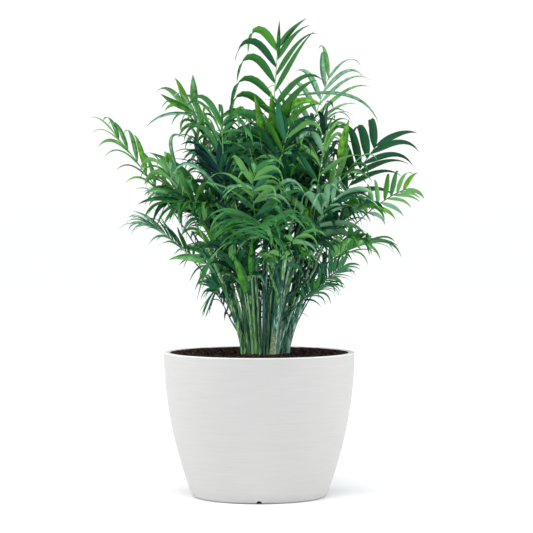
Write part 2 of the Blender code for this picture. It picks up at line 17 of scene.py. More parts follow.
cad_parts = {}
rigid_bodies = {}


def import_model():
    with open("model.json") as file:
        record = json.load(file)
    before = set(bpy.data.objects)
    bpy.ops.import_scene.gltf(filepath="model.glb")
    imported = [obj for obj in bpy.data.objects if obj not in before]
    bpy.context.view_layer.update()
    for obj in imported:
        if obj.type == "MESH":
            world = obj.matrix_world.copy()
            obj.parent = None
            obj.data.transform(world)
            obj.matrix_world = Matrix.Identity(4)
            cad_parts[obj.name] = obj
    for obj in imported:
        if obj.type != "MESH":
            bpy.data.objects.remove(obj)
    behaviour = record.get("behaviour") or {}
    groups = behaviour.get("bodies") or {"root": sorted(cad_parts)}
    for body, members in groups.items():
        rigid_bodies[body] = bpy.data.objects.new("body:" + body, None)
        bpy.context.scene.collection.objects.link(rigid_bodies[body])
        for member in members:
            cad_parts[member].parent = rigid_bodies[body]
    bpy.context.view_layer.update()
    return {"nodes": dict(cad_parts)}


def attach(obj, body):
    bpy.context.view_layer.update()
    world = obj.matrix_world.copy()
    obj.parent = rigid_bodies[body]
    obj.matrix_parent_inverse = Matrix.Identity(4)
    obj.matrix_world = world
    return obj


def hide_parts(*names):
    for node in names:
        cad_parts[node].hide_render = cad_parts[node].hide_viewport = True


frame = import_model()

UP = Vector((0.0, 0.0, 1.0))
GOLDEN_ANGLE = radians(137.5)
BODY = "root"

# Pot and soil
POT_HEIGHT = 0.227
POT_TOP_RADIUS = 0.150
POT_BASE_RADIUS = 0.1055
POT_WALL = 0.0093
POT_FLOOR = 0.010
POT_FOOT_ROUND = 0.0045
POT_LIP_ROUND = 0.0011
POT_RINGS = 44
POT_SEGMENTS = 160
FOOT_NOTCHES = 3
FOOT_NOTCH_RADIUS = 0.0044
FOOT_NOTCH_DEPTH = 0.0070
SOIL_BELOW_LIP = 0.0025
SOIL_TOP = POT_HEIGHT - SOIL_BELOW_LIP
SOIL_RINGS = 56
SOIL_BUMPS = 0.0019
# Layers of bumps: where the noise is cut, its scale and its share
SOIL_GRAINS = ((0.0, 60.0, 0.5), (3.0, 210.0, 0.5), (7.0, 520.0, 0.35))
SOIL_FLAT = 0.86
SOIL_EDGE_RISE = 0.0021
POT_WHITE = (0.56, 0.557, 0.552)
POT_GRAIN = 0.025
# The lip is painted lighter than the wall: a painted highlight where the light from above falls on it
LIP_PAINTED_LIGHT = (0.86, 0.86, 0.86)
# Painted shadow in the recesses of the foot's drain notches
NOTCH_SHADOW = (0.02, 0.02, 0.02)
POT_SHARP = radians(35.0)
# The looks of the pot's faces: the wall, the notches' painted shadow and the lip's painted highlight
WALL_LOOK, NOTCH_SHADOW_LOOK, LIP_LIGHT_LOOK = range(3)
SOIL_COLOR = (0.012, 0.006, 0.005)
SOIL_SPECULAR = 0.08
SOIL_SHARP = radians(70.0)
# Loose crumbs: name, colour and roughness of their looks, and how the looks are dealt out
CRUMB_LOOKS = (
    ("crumb_dark", (0.005, 0.003, 0.003), 0.95), ("crumb_brown", (0.042, 0.025, 0.022), 0.92),
    ("crumb_red", (0.100, 0.060, 0.052), 0.90),
)
CRUMB_DEAL = (0, 0, 1, 1, 1, 2)
CRUMBS = 3600
CRUMB_SIZES = (0.0009, 0.0031)
CRUMB_SHARP = radians(20.0)
CRUMB_FROM_WALL = 0.003
# More crumbs lie round each cane, between these distances from its middle
FOOT_CRUMBS = 46
FOOT_CRUMB_RING = (0.0050, 0.0105)
FOOT_CRUMB_DEAL = (0, 0, 1)

# Canes
CANE_COUNT = 14
CLUMP_X = 0.007
CLUMP_RADIUS = 0.037
CANE_LEAN = radians(20.0)
CANE_LEANS = (0.75, 1.1)
CANE_HEIGHTS = (-0.008, 0.008)
CANE_BEND = 1.25
CANE_TALLEST = 0.250
CANE_SHORTEST = 0.105
CANE_FOOT_RADIUS = 0.0046
CANE_TOP_RADIUS = 0.0027
CANE_FLARE = 1.35
CANE_FLARE_HEIGHT = 0.012
CANE_SIDES = 20
CANE_RING_RUN = 0.0022
# Old leaf sheaths wrap the canes: how far apart they end, how slanted, and how much they stand out
SHEATH_SPACING = 0.052
SHEATH_SLANT = 0.011
SHEATH_SWELL = 0.10
SHEATH_LEVEL = 0.35
SHEATH_EDGE_FROM = 0.955
CANE_RIDGES = 0.045
RIDGE_CROWDING = 2.6
RIDGE_RUN = 9.0
BRIGHT_CANES = ("cane_08", "cane_05", "cane_13")
PALE_CANES = ("cane_11", "cane_06", "cane_14", "cane_09")
SPECKLED_CANE = "cane_11"
SPECKLED_HEIGHT = 0.036
CANE_ROUGHNESS = 0.45
CANE_SPECULAR = 0.2
STREAK_SCALE = 420.0
STREAK_STRETCH = (1.0, 1.0, 0.03)
STREAK_SOFTNESS = 0.09
FIBRE_STRETCH = (1.0, 1.0, 0.05)
# Skins by name, each with the two colours that run through it in streaks
CANE_SKINS = {
    # The deep skin is a dark bluish green that is partly painted shade, for the canes and stalks between the
    # others
    "cane_deep": ((0.004, 0.034, 0.042), (0.080, 0.290, 0.200)),
    "cane_bright": ((0.012, 0.085, 0.055), (0.340, 0.700, 0.250)),
    "cane_pale": ((0.020, 0.120, 0.100), (0.480, 0.780, 0.620)),
}
RIB_SKINS = {
    "rib_green": ((0.032, 0.160, 0.056), (0.140, 0.400, 0.120)),
    "rib_deep": ((0.010, 0.060, 0.050), (0.040, 0.170, 0.100)),
    "rib_light": ((0.130, 0.340, 0.120), (0.330, 0.620, 0.240)),
}
SHEATH_EDGE_COLOR = (0.150, 0.300, 0.120)
SPECKLED_COLOR = (0.400, 0.520, 0.300)
# Looks by their place in a piece's materials, first of the canes, then of the ribs
CANE_DEEP, CANE_BRIGHT, CANE_PALE, SHEATH_EDGE, SPECKLED = range(5)
RIB_GREEN, RIB_DEEP, RIB_LIGHT = range(3)
# How the canes' looks are dealt out to strands, by the look of their cane, and to stalks and stems. The
# stalks within the clump mostly take the deep skin as painted shade between the canes
STRAND_DEALS = ((0, 2, 2), (1, 1, 0, 3), (2, 2, 0, 3))
STALK_DEAL = (0, 0, 0, 1, 2)
FRONT_STEM_DEAL = (0, 1, 2, 1, 1, 0, 1, 0, 2, 2, 0)
STEM_SHARP = radians(60.0)
STEM_RUNS = 12
STEM_SINK = 0.002
STRANDS = 5
STRAND_STARTS = (-0.02, 0.45)
STRAND_LENGTHS = (0.35, 0.75)
STRAND_RADII = (0.0008, 0.0014)
STRAND_PARTINGS = (0.001, 0.006)
STALKS = 36
STALKS_FRONT = -0.30
STALK_HEIGHTS = (0.12, 0.24)
STALK_LEANS = (0.25, 0.62)
STALK_RADII = (0.0013, 0.0021)
STALK_TAPER = 0.55
STALK_BEND = 1.5
STALKS_RADIUS = CLUMP_RADIUS + 0.003
INNER_STALK_SWELL = 0.0012
FRONT_STEMS = 11
FRONT_STEMS_WIDTH = 0.056
FRONT_STEMS_FAN = 0.15
FRONT_STEMS_OUT = 0.031
FRONT_STEM_HEIGHTS = (0.14, 0.23)
FRONT_STEM_RADII = (0.0015, 0.0026)
FRONT_STEM_TAPER = 0.45
FRONT_STEM_BEND = 1.4
FRONT_STEM_SIDEWAYS = (-0.012, 0.012)
FRONT_STEM_FORWARD = (-0.03, 0.0)
GAP = 0.0003

# Ribs
RIB_FOOT_RADIUS = 0.0023
RIB_TIP_RADIUS = 0.0010
RIB_RUNS = 6
RIB_SWAYS = (0.0, 0.05, -0.05, 0.10, -0.10, 0.16, -0.16, 0.22, -0.22)
RIB_MOVES = (0.0, -0.012, 0.012, -0.024, 0.024)
RIB_CANES = 4
LOWEST_LEAVE = 0.015
FINE_RIB_SHARE = 0.62
FINE_RIB_SIDES = 7
FINE_RIB_RUNS = 20
LOWEST_SHEATH = 0.075
# How far below a frond's rib its sheath's rings lie on the cane
SHEATH_RINGS = (0.026, 0.018, 0.010)
# Unopened leaves on the canes' tips
SPEAR_LENGTHS = (0.07, 0.13)
SPEAR_LEANS = (-0.12, 0.12)
SPEAR_RUNS = 8

# Leaflets
LEAF_STEPS = 24
LEAF_RISE = radians(14.0)
LEAF_DROOP_POWER = 2.5
LEAF_SHARP = radians(50.0)
# Half the step between the two leaflets of a pair, in pairs, and where on the rib the last leaflets grow
LEAF_SIDE_STEP = 0.22
LEAF_LAST = 0.985
# By how much leaflets differ from one another
LEAF_SPREADS = (-6.0, 6.0)
LEAF_LENGTHS = (0.90, 1.08)
LEAF_WIDTHS = (0.85, 1.05)
LEAF_DROOPS = (0.55, 1.4)
LEAF_TRIES = (
    (0, 0, 0.0), (14, 0, 0.0), (-14, 0, 0.0), (0, 9, 0.4), (0, -9, -0.4), (26, 0, 0.3),
    (-26, 0, 0.3), (10, 14, -0.5), (-10, -14, 0.6), (38, 6, 0.0), (-38, -6, 0.5), (20, -16, 0.9),
)
BENT_SHARES = (0.32, 0.66)
PLAIN_SHARES = (0.46,)
SMALL_LEAF = 0.060
# A leaflet of the model counts as found when its tip and corners lie this close to the solid
LEAF_FOUND = 0.0014
BETWEEN_LENGTH = 0.93
BETWEEN_WIDTH = 0.85
FINE_WIDTH = 0.72
CROSSING_CHANCE = 0.80
FRONT_CROSSINGS = 0.75
CROSSED_FRONDS = ("front", "middle_left", "side_left", "side_right")
CROSSING_WIDTH = 0.52
CROSSING_LENGTHS = (0.6, 0.95)
CROSSING_TURNS = (-45.0, 45.0)
CROSSING_SPREADS = (-18.0, 24.0)
CROSSING_DROOPS = (-0.6, 1.2)
SHOWN_WIDTH = 1.0
SHOWN_WIDTHS = {
    "top": 0.96, "back_right": 0.74, "low_left": 0.66, "bottom_left": 0.62, "bottom_right": 0.62,
    "low_right": 0.70, "side_left": 0.80, "middle_right": 0.92, "front": 0.80,
}
# How far a leaflet hangs, swings and twists beyond the model's own, at most
LEAF_HANG = 1.9
LEAF_SWING = 0.80
LEAF_TWIST = 1.2
# The blades of the fronds that the front shows stay closer to the frond's own plane
SHOWN_LEVELLING = 0.35
SHOWN_LOOSENESS = 0.5
FRONT_LOOSENESS = 1.6
BACK_LOOSENESS = 1.2
# How far the leaflets' tips hang on either side of these fronds
HOOKED_FRONDS = {
    "top": (2.9, 0.2), "back_right": (0.0, 0.9), "upper_left": (0.6, 0.0), "middle_left": (0.9, 0.6),
    "far_right": (1.2, 0.3),
}
# These fronds have fine leaflets that stand closer than the model's
DENSE_FRONDS = ("low_left", "bottom_left", "low_right", "bottom_right", "middle_right")

Frond = namedtuple("Frond", "name cane leave tip arch bare pairs leaf width spread droop roll")
SHOWN_FRONDS = tuple(Frond(*row) for row in (
    ("top", 2, 0.26, (0.029, -0.062, 0.706), 0.02, 0.4, 6, 0.118, 0.014, (48, 32), (3.0, 0.5), 10),
    ("back_right", 3, 0.25, (0.113, 0.12, 0.668), 0.04, 0.42, 6, 0.104, 0.013, (50, 24), (1.3, 0.7), 12),
    ("upper_left", 1, 0.25, (-0.118, 0.03, 0.608), 0.1, 0.38, 6, 0.094, 0.014, (55, 25), (1.0, 1.2), 27),
    ("far_left", 9, 0.07, (-0.228, 0.01, 0.57), 0.08, 0.52, 6, 0.088, 0.0115, (42, 26), (1.2, 1.1), -24),
    ("middle_left", 4, 0.13, (-0.144, -0.06, 0.51), 0.12, 0.42, 6, 0.09, 0.013, (44, 26), (1.6, 1.5), 8),
    ("side_left", 1, 0.16, (-0.134, -0.02, 0.468), 0.16, 0.42, 6, 0.088, 0.0115, (50, 28), (1.8, 1.6), 4),
    ("low_left", 12, 0.07, (-0.168, -0.03, 0.424), 0.2, 0.48, 6, 0.08, 0.01, (40, 24), (1.0, 0.8), -20),
    ("young_left", 7, 0.08, (-0.074, -0.1, 0.377), 0.34, 0.8, 1, 0.078, 0.013, (24, 24), (0.6, 0.6), 75),
    ("bottom_left", 12, 0.03, (-0.068, -0.05, 0.326), 0.16, 0.45, 5, 0.056, 0.0095, (75, 45), (1.0, 1.0), 55),
    ("far_right", 8, 0.12, (0.184, -0.03, 0.553), 0.1, 0.44, 6, 0.102, 0.0145, (50, 34), (1.8, 0.6), -60),
    ("small_right", 13, 0.1, (0.23, -0.02, 0.484), 0.2, 0.6, 6, 0.054, 0.0085, (66, 38), (1.2, 0.8), -55),
    ("side_right", 8, 0.1, (0.146, -0.06, 0.447), 0.2, 0.44, 6, 0.088, 0.0125, (50, 28), (1.5, 1.6), -10),
    ("middle_right", 5, 0.1, (0.166, -0.09, 0.402), 0.2, 0.46, 6, 0.088, 0.011, (46, 26), (1.6, 1.5), -14),
    ("low_right", 13, 0.06, (0.132, -0.03, 0.364), 0.04, 0.62, 5, 0.046, 0.008, (60, 35), (0.9, 0.9), -40),
    ("bottom_right", 5, 0.05, (0.1, -0.07, 0.336), 0.14, 0.5, 6, 0.054, 0.008, (55, 32), (1.4, 1.4), -20),
    ("front", 10, 0.1, (0.0, -0.17, 0.43), 0.42, 0.46, 6, 0.105, 0.014, (62, 35), (1.6, 1.6), 0),
))

Tier = namedtuple("Tier", "name count first_turn leave reach height arch leaf droop")
TIERS = (
    Tier("crown", 5, 20.0, 1.00, 0.052, 0.568, 0.06, 0.104, 1.5),
    Tier("upper", 9, 50.0, 0.88, 0.120, 0.560, 0.12, 0.106, 1.6),
    Tier("middle", 8, 75.0, 0.72, 0.155, 0.485, 0.20, 0.098, 1.5),
    Tier("lower", 6, 100.0, 0.45, 0.115, 0.375, 0.24, 0.082, 1.4),
)
TIER_PAIRS = 5
TIER_BARE = 0.38
TIER_LEAF_WIDTH = 0.0145
TIER_SPREAD = (60, 30)
TIER_REACHES = (0.82, 1.12)
TIER_HEIGHTS = (-0.035, 0.03)
TIER_LEAVES = (0.88, 1.08)
TIER_DROOPS = (0.8, 1.2)
TIER_ROLLS = (-25.0, 25.0)
CROWDING = 0.022

# Young fronds that fill the inside of the crown, within the reach of the others
INNER_TIERS = (
    Tier("inner_top", 7, 10.0, 0.95, 0.055, 0.545, 0.08, 0.092, 1.6),
    Tier("inner_high", 9, 35.0, 0.80, 0.095, 0.500, 0.14, 0.094, 1.7),
    Tier("inner_low", 8, 65.0, 0.62, 0.105, 0.420, 0.20, 0.088, 1.8),
)
INNER_WIDTH = 0.0135
BASE_TIERS = (
    Tier("inner_base", 6, 15.0, 0.28, 0.078, 0.372, 0.14, 0.062, 1.3),
    Tier("inner_foot", 4, 40.0, 0.16, 0.074, 0.335, 0.12, 0.050, 1.1),
)
BASE_WIDTH = 0.0075
# Those that would stand before the canes are left out
BASE_FRONT = -0.015
BASE_SIDE = 0.050

Cane = namedtuple("Cane", "name foot height lean")
Leaflet = namedtuple("Leaflet", "root rib_radius along side face length width spread droop")

# Plain greens that are dealt out by frond. The shade and deep greens also serve as painted shade inside and
# low in the crown
LEAF_GREENS = {
    "leaf_deep": (0.010, 0.084, 0.030),
    "leaf_mid": (0.048, 0.212, 0.064),
    "leaf_bright": (0.140, 0.375, 0.105),
    "leaf_yellow": (0.140, 0.385, 0.036),
    # A pale bluish green that also stands for a painted sheen of the white surround on glossy leaflets
    "leaf_pale": (0.185, 0.400, 0.235),
    "leaf_teal": (0.032, 0.180, 0.086),
    "leaf_shade": (0.005, 0.034, 0.036),
    "leaf_fresh": (0.060, 0.250, 0.026),
    "leaf_rich": (0.024, 0.148, 0.026),
}
LEAF_SPECULAR = 0.15
# Share of leaflets that differ from their frond
TONE_CHANGES = 0.34
DEEP, MID, BRIGHT, YELLOW, PALE, TEAL, SHADE, FRESH, RICH = range(len(LEAF_GREENS))
# The deeper green painted as shade along one edge of a leaflet's top, as where its fold turns from the light,
# by the leaflet's own
SHADED_EDGE_GREENS = {
    DEEP: SHADE, MID: RICH, BRIGHT: MID, YELLOW: FRESH, PALE: TEAL, TEAL: DEEP, SHADE: SHADE, FRESH: RICH,
    RICH: DEEP,
}
# The greens that a leaflet takes where it differs from its frond
NEAR_GREENS = {
    DEEP: (FRESH, MID, TEAL), MID: (RICH, BRIGHT, FRESH), BRIGHT: (MID, FRESH, YELLOW, PALE),
    YELLOW: (BRIGHT, FRESH, MID), PALE: (BRIGHT, PALE, TEAL), TEAL: (MID, DEEP, MID), SHADE: (DEEP, TEAL),
    FRESH: (MID, YELLOW, DEEP), RICH: (MID, FRESH, DEEP),
}
SHOWN_GREENS = {
    "top": RICH, "back_right": PALE, "upper_left": BRIGHT, "far_left": BRIGHT, "middle_left": BRIGHT,
    "side_left": PALE, "low_left": PALE, "young_left": BRIGHT, "bottom_left": TEAL, "far_right": DEEP,
    "small_right": BRIGHT, "side_right": DEEP, "middle_right": MID, "low_right": TEAL,
    "bottom_right": DEEP, "front": MID,
}
# The greens dealt to the fronds inside, mostly deep and shade greens as painted shade within the crown, and
# to the leaflets of the tiers that differ
INNER_SHADE_DEAL = (SHADE, DEEP, DEEP, DEEP, TEAL, MID)
TIER_DEAL = (DEEP, MID, FRESH, BRIGHT, PALE, TEAL)
# The weight of each green on a frond in the shade, and what the light adds to it
GREEN_WEIGHTS = (
    (2.2, -2.0), (2.0, 0.0), (0.4, 1.2), (0.05, 0.4), (0.5, 0.5), (1.8, -1.0), (0.2, -0.2), (0.4, 1.0),
    (0.6, 0.0),
)
# Single leaves that stand out of the crown and the clump: root, pull, tip, width and green
YOUNG_LEAVES = (
    ((-0.019, -0.078, 0.322), (-0.026, -0.1, 0.359), (-0.043, -0.118, 0.388), 0.014, FRESH),
    ((-0.012, -0.07, 0.345), (-0.014, -0.095, 0.38), (-0.01, -0.118, 0.412), 0.0085, FRESH),
    ((-0.082, -0.09, 0.369), (-0.109, -0.098, 0.386), (-0.139, -0.1, 0.375), 0.012, BRIGHT),
    ((-0.118, -0.06, 0.49), (-0.16, -0.072, 0.592), (-0.108, -0.08, 0.56), 0.006, PALE),
    ((-0.06, -0.07, 0.48), (-0.118, -0.09, 0.56), (-0.14, -0.09, 0.49), 0.0065, PALE),
    ((0.01, -0.09, 0.455), (0.046, -0.13, 0.53), (0.072, -0.13, 0.47), 0.007, PALE),
    ((0.018, -0.09, 0.458), (-0.028, -0.14, 0.52), (-0.06, -0.135, 0.462), 0.007, PALE),
    ((0.014, -0.1, 0.45), (0.03, -0.15, 0.47), (0.052, -0.15, 0.405), 0.007, TEAL),
    ((0.029, -0.061, 0.688), (0.03, -0.064, 0.716), (0.0312, -0.066, 0.7445), 0.0064, RICH),
    ((0.012, -0.04, 0.54), (0.004, -0.072, 0.586), (-0.008, -0.082, 0.63), 0.015, YELLOW),
    ((0.02, -0.042, 0.54), (0.022, -0.076, 0.59), (0.018, -0.088, 0.636), 0.014, YELLOW),
    ((0.026, -0.036, 0.545), (0.04, -0.072, 0.595), (0.052, -0.084, 0.624), 0.014, FRESH),
    ((0.03, -0.04, 0.59), (0.062, -0.07, 0.636), (0.098, -0.074, 0.612), 0.013, YELLOW),
    ((-0.01, -0.05, 0.585), (-0.04, -0.08, 0.622), (-0.064, -0.084, 0.584), 0.011, FRESH),
    ((0.056, 0.0, 0.63), (0.166, -0.01, 0.651), (0.188, -0.015, 0.584), 0.006, PALE),
    ((-0.101, 0.0, 0.6), (-0.152, -0.01, 0.611), (-0.178, -0.012, 0.58), 0.005, PALE),
    ((-0.101, -0.01, 0.612), (-0.103, -0.014, 0.642), (-0.104, -0.018, 0.663), 0.012, BRIGHT),
    ((-0.104, -0.01, 0.604), (-0.137, -0.014, 0.619), (-0.155, -0.016, 0.633), 0.01, FRESH),
    ((0.126, -0.05, 0.524), (0.13, -0.058, 0.56), (0.139, -0.058, 0.592), 0.0145, YELLOW),
    ((-0.092, -0.04, 0.468), (-0.112, -0.062, 0.52), (-0.168, -0.066, 0.54), 0.015, MID),
    ((-0.06, -0.05, 0.5), (-0.04, -0.08, 0.545), (-0.024, -0.098, 0.51), 0.013, BRIGHT),
    ((-0.02, -0.07, 0.455), (0.004, -0.1, 0.51), (0.02, -0.112, 0.47), 0.012, BRIGHT),
    ((0.07, -0.05, 0.48), (0.05, -0.09, 0.505), (0.02, -0.11, 0.455), 0.0125, PALE),
)
# The first of them rise on stalks of their own, which thin from the soil to the leaf
STALKED_LEAVES = 2
YOUNG_STALK_RADII = (0.0019, 0.0009)
SHOWN_RIBS = {
    "top": RIB_LIGHT, "back_right": RIB_LIGHT, "far_left": RIB_DEEP, "low_left": RIB_DEEP,
    "far_right": RIB_DEEP, "side_right": RIB_DEEP, "small_right": RIB_DEEP,
}
# A piece of leaflets takes no further frond once it has this many triangles
PIECE_FULL = 168000


def away_at(turn):
    """The level direction at a turn round the pot."""
    return Vector((cos(turn), sin(turn), 0.0))


def new_object(name, data):
    thing = bpy.data.objects.new(name, data)
    bpy.context.scene.collection.objects.link(thing)
    return thing


def tube(centres, radii, sides):
    """A closed tube through the centres, as points and faces."""
    points = []
    faces = []
    sideways = None
    for index, centre in enumerate(centres):
        before = centres[max(index - 1, 0)]
        after = centres[min(index + 1, len(centres) - 1)]
        along = (after - before).normalized()
        if sideways is None:
            sideways = along.cross(Vector((0.31, 0.95, 0.05))).normalized()
        sideways = (sideways - along * sideways.dot(along)).normalized()
        across = along.cross(sideways)
        for step in range(sides):
            angle = 2.0 * pi * step / sides
            points.append(centre + (sideways * cos(angle) + across * sin(angle)) * radii[index])
    for ring in range(len(centres) - 1):
        for step in range(sides):
            after = (step + 1) % sides
            low = ring * sides
            high = low + sides
            faces.append((low + step, low + after, high + after, high + step))
    last = (len(centres) - 1) * sides
    faces.append(tuple(reversed(range(sides))))
    faces.append(tuple(range(last, last + sides)))
    return points, faces


class Joined:
    """Points and faces of many small shapes that become one piece, each shape with its material."""

    def __init__(self, name, slot, materials, sharp, nodes=()):
        self.name = name
        self.slot = slot
        self.materials = materials
        self.sharp = sharp
        self.nodes = list(nodes)
        self.points = []
        self.faces = []
        self.looks = []

    def add(self, solid, look):
        """Add points and faces with the index of their material, or with one index for each face."""
        points, faces = solid
        start = len(self.points)
        self.points += [tuple(point) for point in points]
        self.faces += [tuple(start + corner for corner in face) for face in faces]
        self.looks += look if isinstance(look, list) else [look] * len(faces)

    def triangles(self):
        return sum(len(face) - 2 for face in self.faces)

    def make(self):
        """Make the piece, which replaces the model's nodes that it names."""
        mesh = bpy.data.meshes.new(self.name)
        mesh.from_pydata(self.points, [], self.faces)
        for material in self.materials:
            mesh.materials.append(material)
        mesh.polygons.foreach_set("material_index", self.looks)
        mesh.validate()
        mesh.shade_smooth()
        mesh.set_sharp_from_angle(angle=self.sharp)
        return finish_piece(self.name, mesh, self.slot, self.nodes)


def finish_piece(name, mesh, slot, nodes):
    piece = new_object(name, mesh)
    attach(piece, BODY)
    if nodes:
        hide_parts(*nodes)
    return piece


def new_material(name, color, roughness, specular=0.5):
    material = bpy.data.materials.new(name)
    material.use_nodes = True
    shader = material.node_tree.nodes["Principled BSDF"]
    shader.inputs["Base Color"].default_value = (*color, 1.0)
    shader.inputs["Roughness"].default_value = roughness
    shader.inputs["Specular IOR Level"].default_value = specular
    return material


def noise_node(material, scale, detail, stretch=(1.0, 1.0, 1.0)):
    """A noise in the object's own space, stretched along its axes."""
    nodes, links = material.node_tree.nodes, material.node_tree.links
    place = nodes.new("ShaderNodeTexCoord")
    mapping = nodes.new("ShaderNodeMapping")
    mapping.inputs["Scale"].default_value = stretch
    texture = nodes.new("ShaderNodeTexNoise")
    texture.inputs["Scale"].default_value = scale
    texture.inputs["Detail"].default_value = detail
    links.new(place.outputs["Object"], mapping.inputs["Vector"])
    links.new(mapping.outputs["Vector"], texture.inputs["Vector"])
    return texture


def set_stops(ramp, *stops):
    """Set the stops of a colour ramp, each a place and a colour."""
    for element, (place, color) in zip(ramp.color_ramp.elements, stops):
        element.position = place
        element.color = (*color, 1.0)


def vary_color(material, texture, dark, light, softness=0.18):
    """Let the noise run the base colour from the dark to the light one."""
    nodes, links = material.node_tree.nodes, material.node_tree.links
    ramp = nodes.new("ShaderNodeValToRGB")
    set_stops(ramp, (0.5 - softness, dark), (0.5 + softness, light))
    links.new(texture.outputs["Fac"], ramp.inputs["Fac"])
    links.new(ramp.outputs["Color"], nodes["Principled BSDF"].inputs["Base Color"])


def add_bump(material, texture, strength, distance):
    nodes, links = material.node_tree.nodes, material.node_tree.links
    bump = nodes.new("ShaderNodeBump")
    bump.inputs["Strength"].default_value = strength
    bump.inputs["Distance"].default_value = distance
    links.new(texture.outputs["Fac"], bump.inputs["Height"])
    links.new(bump.outputs["Normal"], nodes["Principled BSDF"].inputs["Normal"])


def tinted(color, share):
    return tuple(channel * share for channel in color)


def varied_material(name, color, roughness, spread, scale, bump=0.0, specular=0.5):
    """A colour that noise makes lighter and darker by the spread."""
    material = new_material(name, color, roughness, specular)
    texture = noise_node(material, scale, 4.0)
    vary_color(material, texture, tinted(color, 1.0 - spread), tinted(color, 1.0 + spread))
    if bump:
        add_bump(material, texture, bump, 0.001)
    return material


def streaked_material(name, dark, light):
    """The skin of a cane or a rib, with streaks that run up it."""
    material = new_material(name, dark, CANE_ROUGHNESS, CANE_SPECULAR)
    streaks = noise_node(material, STREAK_SCALE, 3.0, STREAK_STRETCH)
    vary_color(material, streaks, dark, light, STREAK_SOFTNESS)
    add_bump(material, noise_node(material, STREAK_SCALE * 2.0, 2.0, FIBRE_STRETCH), 0.4, 0.0006)
    return material


def pot_material():
    """Matt white with a faint brushed grain that runs round the pot."""
    material = new_material("pot_matt_white", POT_WHITE, 0.55)
    grain = noise_node(material, 5.0, 6.0, (4.0, 4.0, 90.0))
    vary_color(material, grain, tinted(POT_WHITE, 1.0 - POT_GRAIN), tinted(POT_WHITE, 1.0 + POT_GRAIN))
    add_bump(material, grain, 0.4, 0.0007)
    return material


def wall_radius(height):
    """The pot's outer radius: nearly upright at the lip and drawn in towards the foot."""
    below_lip = 1.0 - height / POT_HEIGHT
    return POT_TOP_RADIUS - (POT_TOP_RADIUS - POT_BASE_RADIUS) * below_lip ** 2


def inner_radius(height):
    return wall_radius(height) - POT_WALL


def ring_heights(low, high, runs):
    return [low + (high - low) * ring / runs for ring in range(runs + 1)]


def quarter_round(radius, height, turn_from, turn_to, size, steps=5):
    """Points round a corner whose centre is at (radius, height), between two turns in degrees."""
    points = []
    for step in range(steps + 1):
        turn = radians(turn_from + (turn_to - turn_from) * step / steps)
        points.append((radius + size * cos(turn), height + size * sin(turn)))
    return points


def pot_profile():
    """The pot's section from the middle of its underside, over the lip, to the middle of its floor."""
    lip = POT_HEIGHT - POT_LIP_ROUND
    profile = [(0.0, 0.0)]
    profile += quarter_round(wall_radius(0.0) - POT_FOOT_ROUND, POT_FOOT_ROUND, -90, 0, POT_FOOT_ROUND)
    outer = ring_heights(POT_FOOT_ROUND, lip, POT_RINGS)
    profile += [(wall_radius(height), height) for height in outer[1:-1]]
    profile += quarter_round(POT_TOP_RADIUS - POT_LIP_ROUND, lip, 0, 90, POT_LIP_ROUND)
    inner_lip = inner_radius(lip)
    profile += quarter_round(inner_lip + POT_LIP_ROUND, lip, 90, 180, POT_LIP_ROUND)
    inner = ring_heights(POT_FLOOR, lip, POT_RINGS // 4)
    profile += [(inner_radius(height), height) for height in reversed(inner[:-1])]
    profile.append((0.0, POT_FLOOR))
    return profile


def turned(profile, segments):
    """Turn a profile of (radius, height) points, both ends on the axis, into points and faces."""
    points = []
    rings = []
    for radius, height in profile:
        if radius == 0.0:
            rings.append([len(points)] * segments)
            points.append(Vector((0.0, 0.0, height)))
            continue
        rings.append(list(range(len(points), len(points) + segments)))
        for step in range(segments):
            angle = 2.0 * pi * step / segments
            points.append(Vector((radius * cos(angle), radius * sin(angle), height)))
    faces = []
    for lower, upper in zip(rings, rings[1:]):
        for step in range(segments):
            after = (step + 1) % segments
            corners = (lower[step], lower[after], upper[after], upper[step])
            faces.append(tuple(dict.fromkeys(corners)))
    return points, faces


def notch_turns():
    return [2.0 * pi * index / FOOT_NOTCHES - pi / 2.0 for index in range(FOOT_NOTCHES)]


def notch_cutter(turn):
    """A round bar that lies across the foot's edge at this turn."""
    bm = bmesh.new()
    bmesh.ops.create_cone(
        bm, cap_ends=True, segments=28, radius1=FOOT_NOTCH_RADIUS, radius2=FOOT_NOTCH_RADIUS,
        depth=FOOT_NOTCH_DEPTH * 2.0, matrix=Matrix.Rotation(pi / 2.0, 4, "Y"),
    )
    mesh = bpy.data.meshes.new("notch")
    bm.to_mesh(mesh)
    bm.free()
    cutter = bpy.data.objects.new("notch", mesh)
    cutter.location = away_at(turn) * POT_BASE_RADIUS
    cutter.rotation_euler = (0.0, 0.0, turn)
    return cutter


def cut_foot_notches(pot):
    """Cut half-round drain notches in the edge of the foot."""
    cutters = bpy.data.collections.new("notch_cutters")
    bpy.context.scene.collection.children.link(cutters)
    for turn in notch_turns():
        cutters.objects.link(notch_cutter(turn))
    modifier = pot.modifiers.new("notches", "BOOLEAN")
    modifier.operation = "DIFFERENCE"
    modifier.operand_type = "COLLECTION"
    modifier.collection = cutters
    modifier.solver = "EXACT"
    bpy.context.view_layer.update()
    cut = bpy.data.meshes.new_from_object(pot.evaluated_get(bpy.context.evaluated_depsgraph_get()))
    pot.modifiers.clear()
    pot.data = cut
    for cutter in list(cutters.objects):
        bpy.data.objects.remove(cutter, do_unlink=True)
    bpy.data.collections.remove(cutters)


def in_notch(face, turn):
    """Whether a face is a wall or the back of the notch at this turn, and not the pot's underside."""
    away = away_at(turn)
    centre = face.center
    inward = (POT_BASE_RADIUS - centre.dot(away)) / FOOT_NOTCH_DEPTH
    aside = hypot(centre.x * away.y - centre.y * away.x, centre.z) / FOOT_NOTCH_RADIUS
    is_wall = abs(face.normal.dot(away)) < 0.5
    return centre.z > 0.00002 and aside < 1.001 and inward < 1.1 and (is_wall or inward > 0.9)


